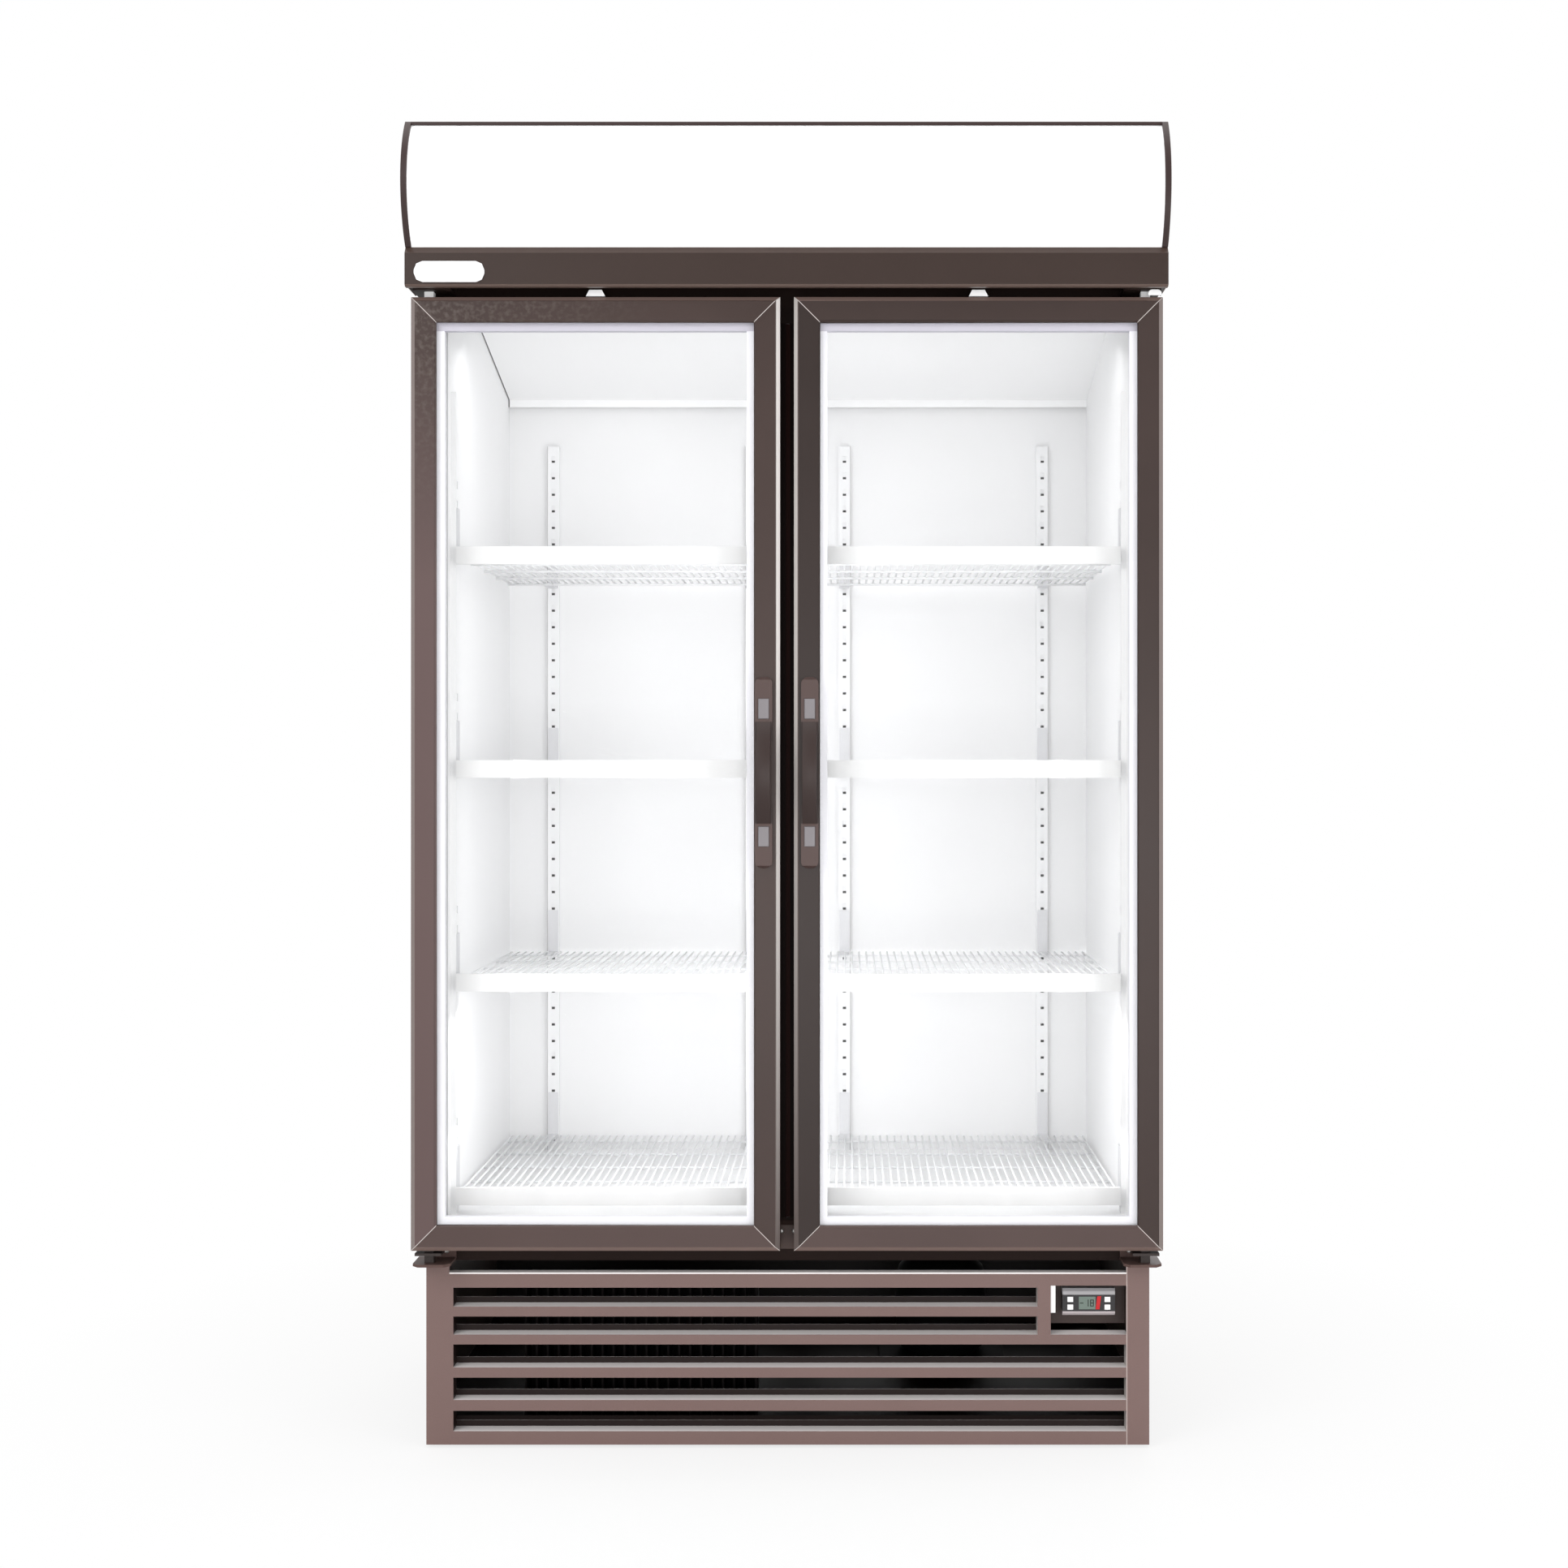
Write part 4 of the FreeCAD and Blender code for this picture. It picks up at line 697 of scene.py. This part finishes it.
# Canopy: brown end plates and a folded top cover hold a curved opal acrylic sign, lit from behind.
# The sign glows an even white; the cover's front lip shows as a thin line along its top.
dress(sprayed("canopy_brown", (0.032, 0.019, 0.018)), "canopy_end_caps", "canopy_cover")
opal = Finish("opal_acrylic", Roughness=0.3, Emission_Strength=0.1)
glow = opal.noise(2.0, 2.0)
opal.paint(opal.mix(glow, (0.88, 0.88, 0.885, 1.0), (0.9, 0.9, 0.905, 1.0)))
opal.feed("Emission Color", opal.mix(glow, (0.97, 0.97, 1.0, 1.0), (1.0, 1.0, 1.0, 1.0)))
dress(opal, "sign_panel")


# Front grille: one folded steel panel in a lighter mauve-brown paint, with five louvre slots.
# Each slot has a deep sill; its upper face, the folds and the slot ends are painted light as painted
# highlights, and the inner faces are painted near black as painted shade.
grille_brown = sprayed("grille_brown", (0.16, 0.1045, 0.0957), 0.4, 0.08)
grille_low, grille_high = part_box("front_grille")
sheet = 0.0016
post_x = grille_high.x - 0.035
bar_top = 0.267
top_edge = 0.0022
across = grille_brown.axis("X")
level = grille_brown.axis("Z")
faces_up = grille_brown.facing("Z") > 0.5
faces_left = grille_brown.facing("X") < -0.5
inside = (grille_brown.axis("Y") > grille_low.y + sheet) * (abs(across) < grille_high.x - sheet)
post_fold = (across > post_x) * (across < post_x + sheet)
hair = 0.0001
top_fold = (level > bar_top - top_edge) * (level < bar_top + hair) * (abs(across) < post_x)
# Painted highlights: the post folds and the top fold are painted light.
grille_brown.mark(post_fold, (0.4, 0.33, 0.31))
grille_brown.mark(top_fold, (0.8, 0.77, 0.75))
# Painted shade: the inner faces behind the grille's front are painted near black.
grille_brown.mark(inside, (0.011, 0.005, 0.004))
# Painted highlights: the slot ends that face left and every upward face, the sills most, are painted pale.
grille_brown.mark(inside * faces_left, (0.5, 0.46, 0.44))
grille_brown.mark(faces_up, (0.92, 0.87, 0.86))
dress(grille_brown, "front_grille")


# Temperature controller: a black moulded instrument with a silver upper bezel and a mauve lower one,
# four square white keys, a grey-green display and a red window, on a brown folded bracket.
controller_black = moulded("controller_black", (0.03, 0.028, 0.03), 0.35)
control_low, control_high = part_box("controller_body")
upper_bezel, lower_bezel = 0.0092, 0.0064
level = controller_black.axis("Z")
controller_black.mark(level > control_high.z - upper_bezel, (0.33, 0.32, 0.33))
controller_black.mark(level < control_low.z + lower_bezel, (0.42, 0.37, 0.38))
dress(controller_black, "controller_body")
key_white = moulded("key_white", (0.86, 0.85, 0.855), 0.38)
dress(key_white, "left_upper_button", "left_lower_button", "right_upper_button", "right_lower_button")
dress(sprayed("bracket_brown", (0.045, 0.03, 0.027), 0.45), "controller_bracket")

screen_green = moulded("screen_green", (0.15, 0.19, 0.165), 0.18)
screen = Vector((0.4566, control_low.y + 0.0003, 0.218))
screen_half_x, screen_half_z = 0.0127, 0.0097
screen_depth = 0.0005
bm = bmesh.new()
block(
    bm, (screen.x - screen_half_x, screen.y, screen.z - screen_half_z),
    (screen.x + screen_half_x, screen.y + screen_depth, screen.z + screen_half_z),
)
ease(bm, bm.edges[:], 0.0001)
piece("controller_screen", bm, screen_green, "cabinet", "controller_plastic")

digit_ink = moulded("digit_ink", (0.012, 0.014, 0.013), 0.3)
digit_wide, digit_tall = 0.0055, 0.0105
digit_pitch = 0.0079
first_digit = screen.x - 0.0112
stroke = 0.0013
ink_proud, ink_sunk = 0.00008, 0.0001
lit_bars = {"-": ["middle"], "1": ["right"], "8": ["top", "middle", "bottom", "left", "right"]}
bm = bmesh.new()
for i, sign in enumerate("-18"):
    x0 = first_digit + i * digit_pitch
    x1 = x0 + digit_wide
    z0, z1 = screen.z - digit_tall / 2, screen.z + digit_tall / 2
    bars = {
        "left": (x0, x0 + stroke, z0, z1), "right": (x1 - stroke, x1, z0, z1),
        "top": (x0, x1, z1 - stroke, z1), "bottom": (x0, x1, z0, z0 + stroke),
        "middle": (x0, x1, screen.z - stroke / 2, screen.z + stroke / 2),
    }
    for bar in lit_bars[sign]:
        bx0, bx1, bz0, bz1 = bars[bar]
        block(bm, (bx0, screen.y - ink_proud, bz0), (bx1, screen.y + ink_sunk, bz1))
piece("controller_digits", bm, digit_ink, "cabinet", "controller_plastic")

window_red = moulded("window_red", (0.5, 0.02, 0.025), 0.2)
lean = 0.12
leaning = Matrix(((1.0, 0.0, lean), (0.0, 1.0, 0.0), (0.0, 0.0, 1.0))).to_4x4()
window_low = (0.4705, control_low.y - 0.0005, 0.2085)
window_high = (0.4765, control_low.y + 0.0001, 0.2285)
bm = bmesh.new()
block(bm, window_low, window_high)
bmesh.ops.transform(bm, matrix=leaning, space=Matrix.Translation(-screen), verts=bm.verts)
ease(bm, bm.edges[:], 0.0002)
piece("controller_window", bm, window_red, "cabinet", "controller_plastic")

# Painted highlight: a white strip built along the bracket's left edge stands for light on the sheet edge.
bracket_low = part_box("controller_bracket")[0]
highlight_x = bracket_low.x + 0.0013
highlight_wide, highlight_wall = 0.0086, 0.0015
highlight_low, highlight_high = 0.205, 0.2465
lip_front, lip_back, wall_back = (bracket_low.y + step for step in (0.0012, 0.003, 0.016))
bm = bmesh.new()
block(bm, (highlight_x, lip_front, highlight_low), (highlight_x + highlight_wide, lip_back, highlight_high))
block(bm, (highlight_x, lip_back, highlight_low), (highlight_x + highlight_wall, wall_back, highlight_high))
ease(bm, bm.edges[:], 0.0003)
piece("bracket_edge_highlight", bm, key_white, "cabinet", "button_white")


# Floor: a wide pale sweep that the cabinet stands on. It isn't part of the cabinet.
# To the camera it is nearly white, and it keeps a soft contact shadow.
bm = bmesh.new()
bmesh.ops.create_grid(bm, x_segments=1, y_segments=1, size=40.0)
floor_mesh = bpy.data.meshes.new("studio_floor")
bm.to_mesh(floor_mesh)
bm.free()
floor = bpy.data.objects.new("studio_floor", floor_mesh)
bpy.context.scene.collection.objects.link(floor)
floor_paint = Finish("studio_floor", Roughness=0.9)
floor_paint.paint(floor_paint.mix(floor_paint.noise(0.4), (0.86, 0.86, 0.86, 1.0), (0.88, 0.88, 0.88, 1.0)))
seen = floor_paint.add("ShaderNodeLightPath", {}, {}, "Is Camera Ray")
white = floor_paint.add("ShaderNodeEmission", {}, {"Color": (1.0, 1.0, 1.0, 1.0), "Strength": 1.0})
plain = Value(floor_paint, floor_paint.shader.outputs["BSDF"])
across, off = floor_paint.axis("X"), floor_paint.axis("Y")
near_share, share_growth = 0.75, 0.12
share = (near_share + share_growth * (across * across + off * off)).least(1.0)
shown = floor_paint.add("ShaderNodeMixShader", {}, {0: share * seen, 1: plain, 2: white})
floor_paint.join(floor_paint.tree.nodes["Material Output"].inputs["Surface"], shown)
floor_mesh.materials.append(floor_paint.material)


# Studio light: a large soft key from the upper left, a fill from the right, a low front light, a top
# and a rear light, and small lamps inside each bay that stand in for the cabinet's own lighting.
def soft_light(name, place, target, size, power):
    """Square area light that points at a target."""
    lamp = bpy.data.lights.new(name, "AREA")
    lamp.shape = "RECTANGLE"
    lamp.size, lamp.size_y = size
    lamp.energy = power
    made = bpy.data.objects.new(name, lamp)
    bpy.context.scene.collection.objects.link(made)
    made.location = place
    made.rotation_euler = (Vector(target) - Vector(place)).to_track_quat("-Z", "Y").to_euler()


soft_light("key", (-2.6, -3.4, 3.0), (0.0, 0.0, 1.0), (2.5, 2.5), 76.0)
soft_light("fill", (3.2, -3.0, 1.2), (0.0, 0.0, 0.8), (2.5, 2.5), 55.0)
soft_light("low", (0.3, -4.4, 0.7), (0.0, 0.0, 0.7), (2.5, 1.2), 44.0)
soft_light("top", (0.0, -0.6, 4.4), (0.0, 0.0, 1.0), (3.0, 2.0), 60.0)
soft_light("rear", (0.6, 4.0, 2.4), (0.0, 0.0, 1.0), (3.0, 2.0), 60.0)
for side in (-1, 1):
    bay_x = side * 0.28
    soft_light("bay_top", (bay_x, -0.16, 1.70), (bay_x, 0.1, 0.9), (0.4, 0.05), 0.3)
    soft_light("bay_post", (side * 0.075, -0.225, 1.04), (side * 0.4, 0.3, 1.0), (0.02, 1.12), 0.36)
    soft_light("bay_jamb", (side * 0.42, -0.24, 1.04), (side * 0.15, 0.3, 1.0), (0.02, 1.12), 0.36)
    soft_light("bay_sill", (bay_x, -0.252, 0.47), (bay_x, -0.2, 0.37), (0.46, 0.012), 0.08)
    soft_light("bay_low", (bay_x, -0.222, 0.66), (bay_x, -0.05, 0.36), (0.44, 0.02), 0.36)
world = bpy.data.worlds.new("studio")
bpy.context.scene.world = world
world.use_nodes = True
studio = Nodes(world.node_tree)
straight = studio.add("ShaderNodeLightPath", {}, {}, "Is Camera Ray")
mirrored = studio.add("ShaderNodeLightPath", {}, {}, "Is Glossy Ray")
through = studio.add("ShaderNodeLightPath", {}, {}, "Is Transmission Ray")
plain_level = 0.55
sky = world.node_tree.nodes["Background"].inputs
studio.join(sky["Color"], (1.0, 1.0, 1.0, 1.0))
studio.join(sky["Strength"], plain_level + (1.0 - plain_level) * straight.most(mirrored).most(through))


# Camera: level and square to the front, a little right of the middle and at about half height.
# The small shift frames the cabinet as it stands in the photograph.
lens = bpy.data.cameras.new("camera")
lens.sensor_width = 36.0
lens.lens = 45.95
lens.shift_x = -0.0435
lens.shift_y = -0.0083
camera = bpy.data.objects.new("camera", lens)
camera.location = (0.098, -3.307, 1.03)
camera.rotation_euler = (math.pi / 2, 0.0, 0.0)
bpy.context.scene.collection.objects.link(camera)
bpy.context.scene.camera = camera
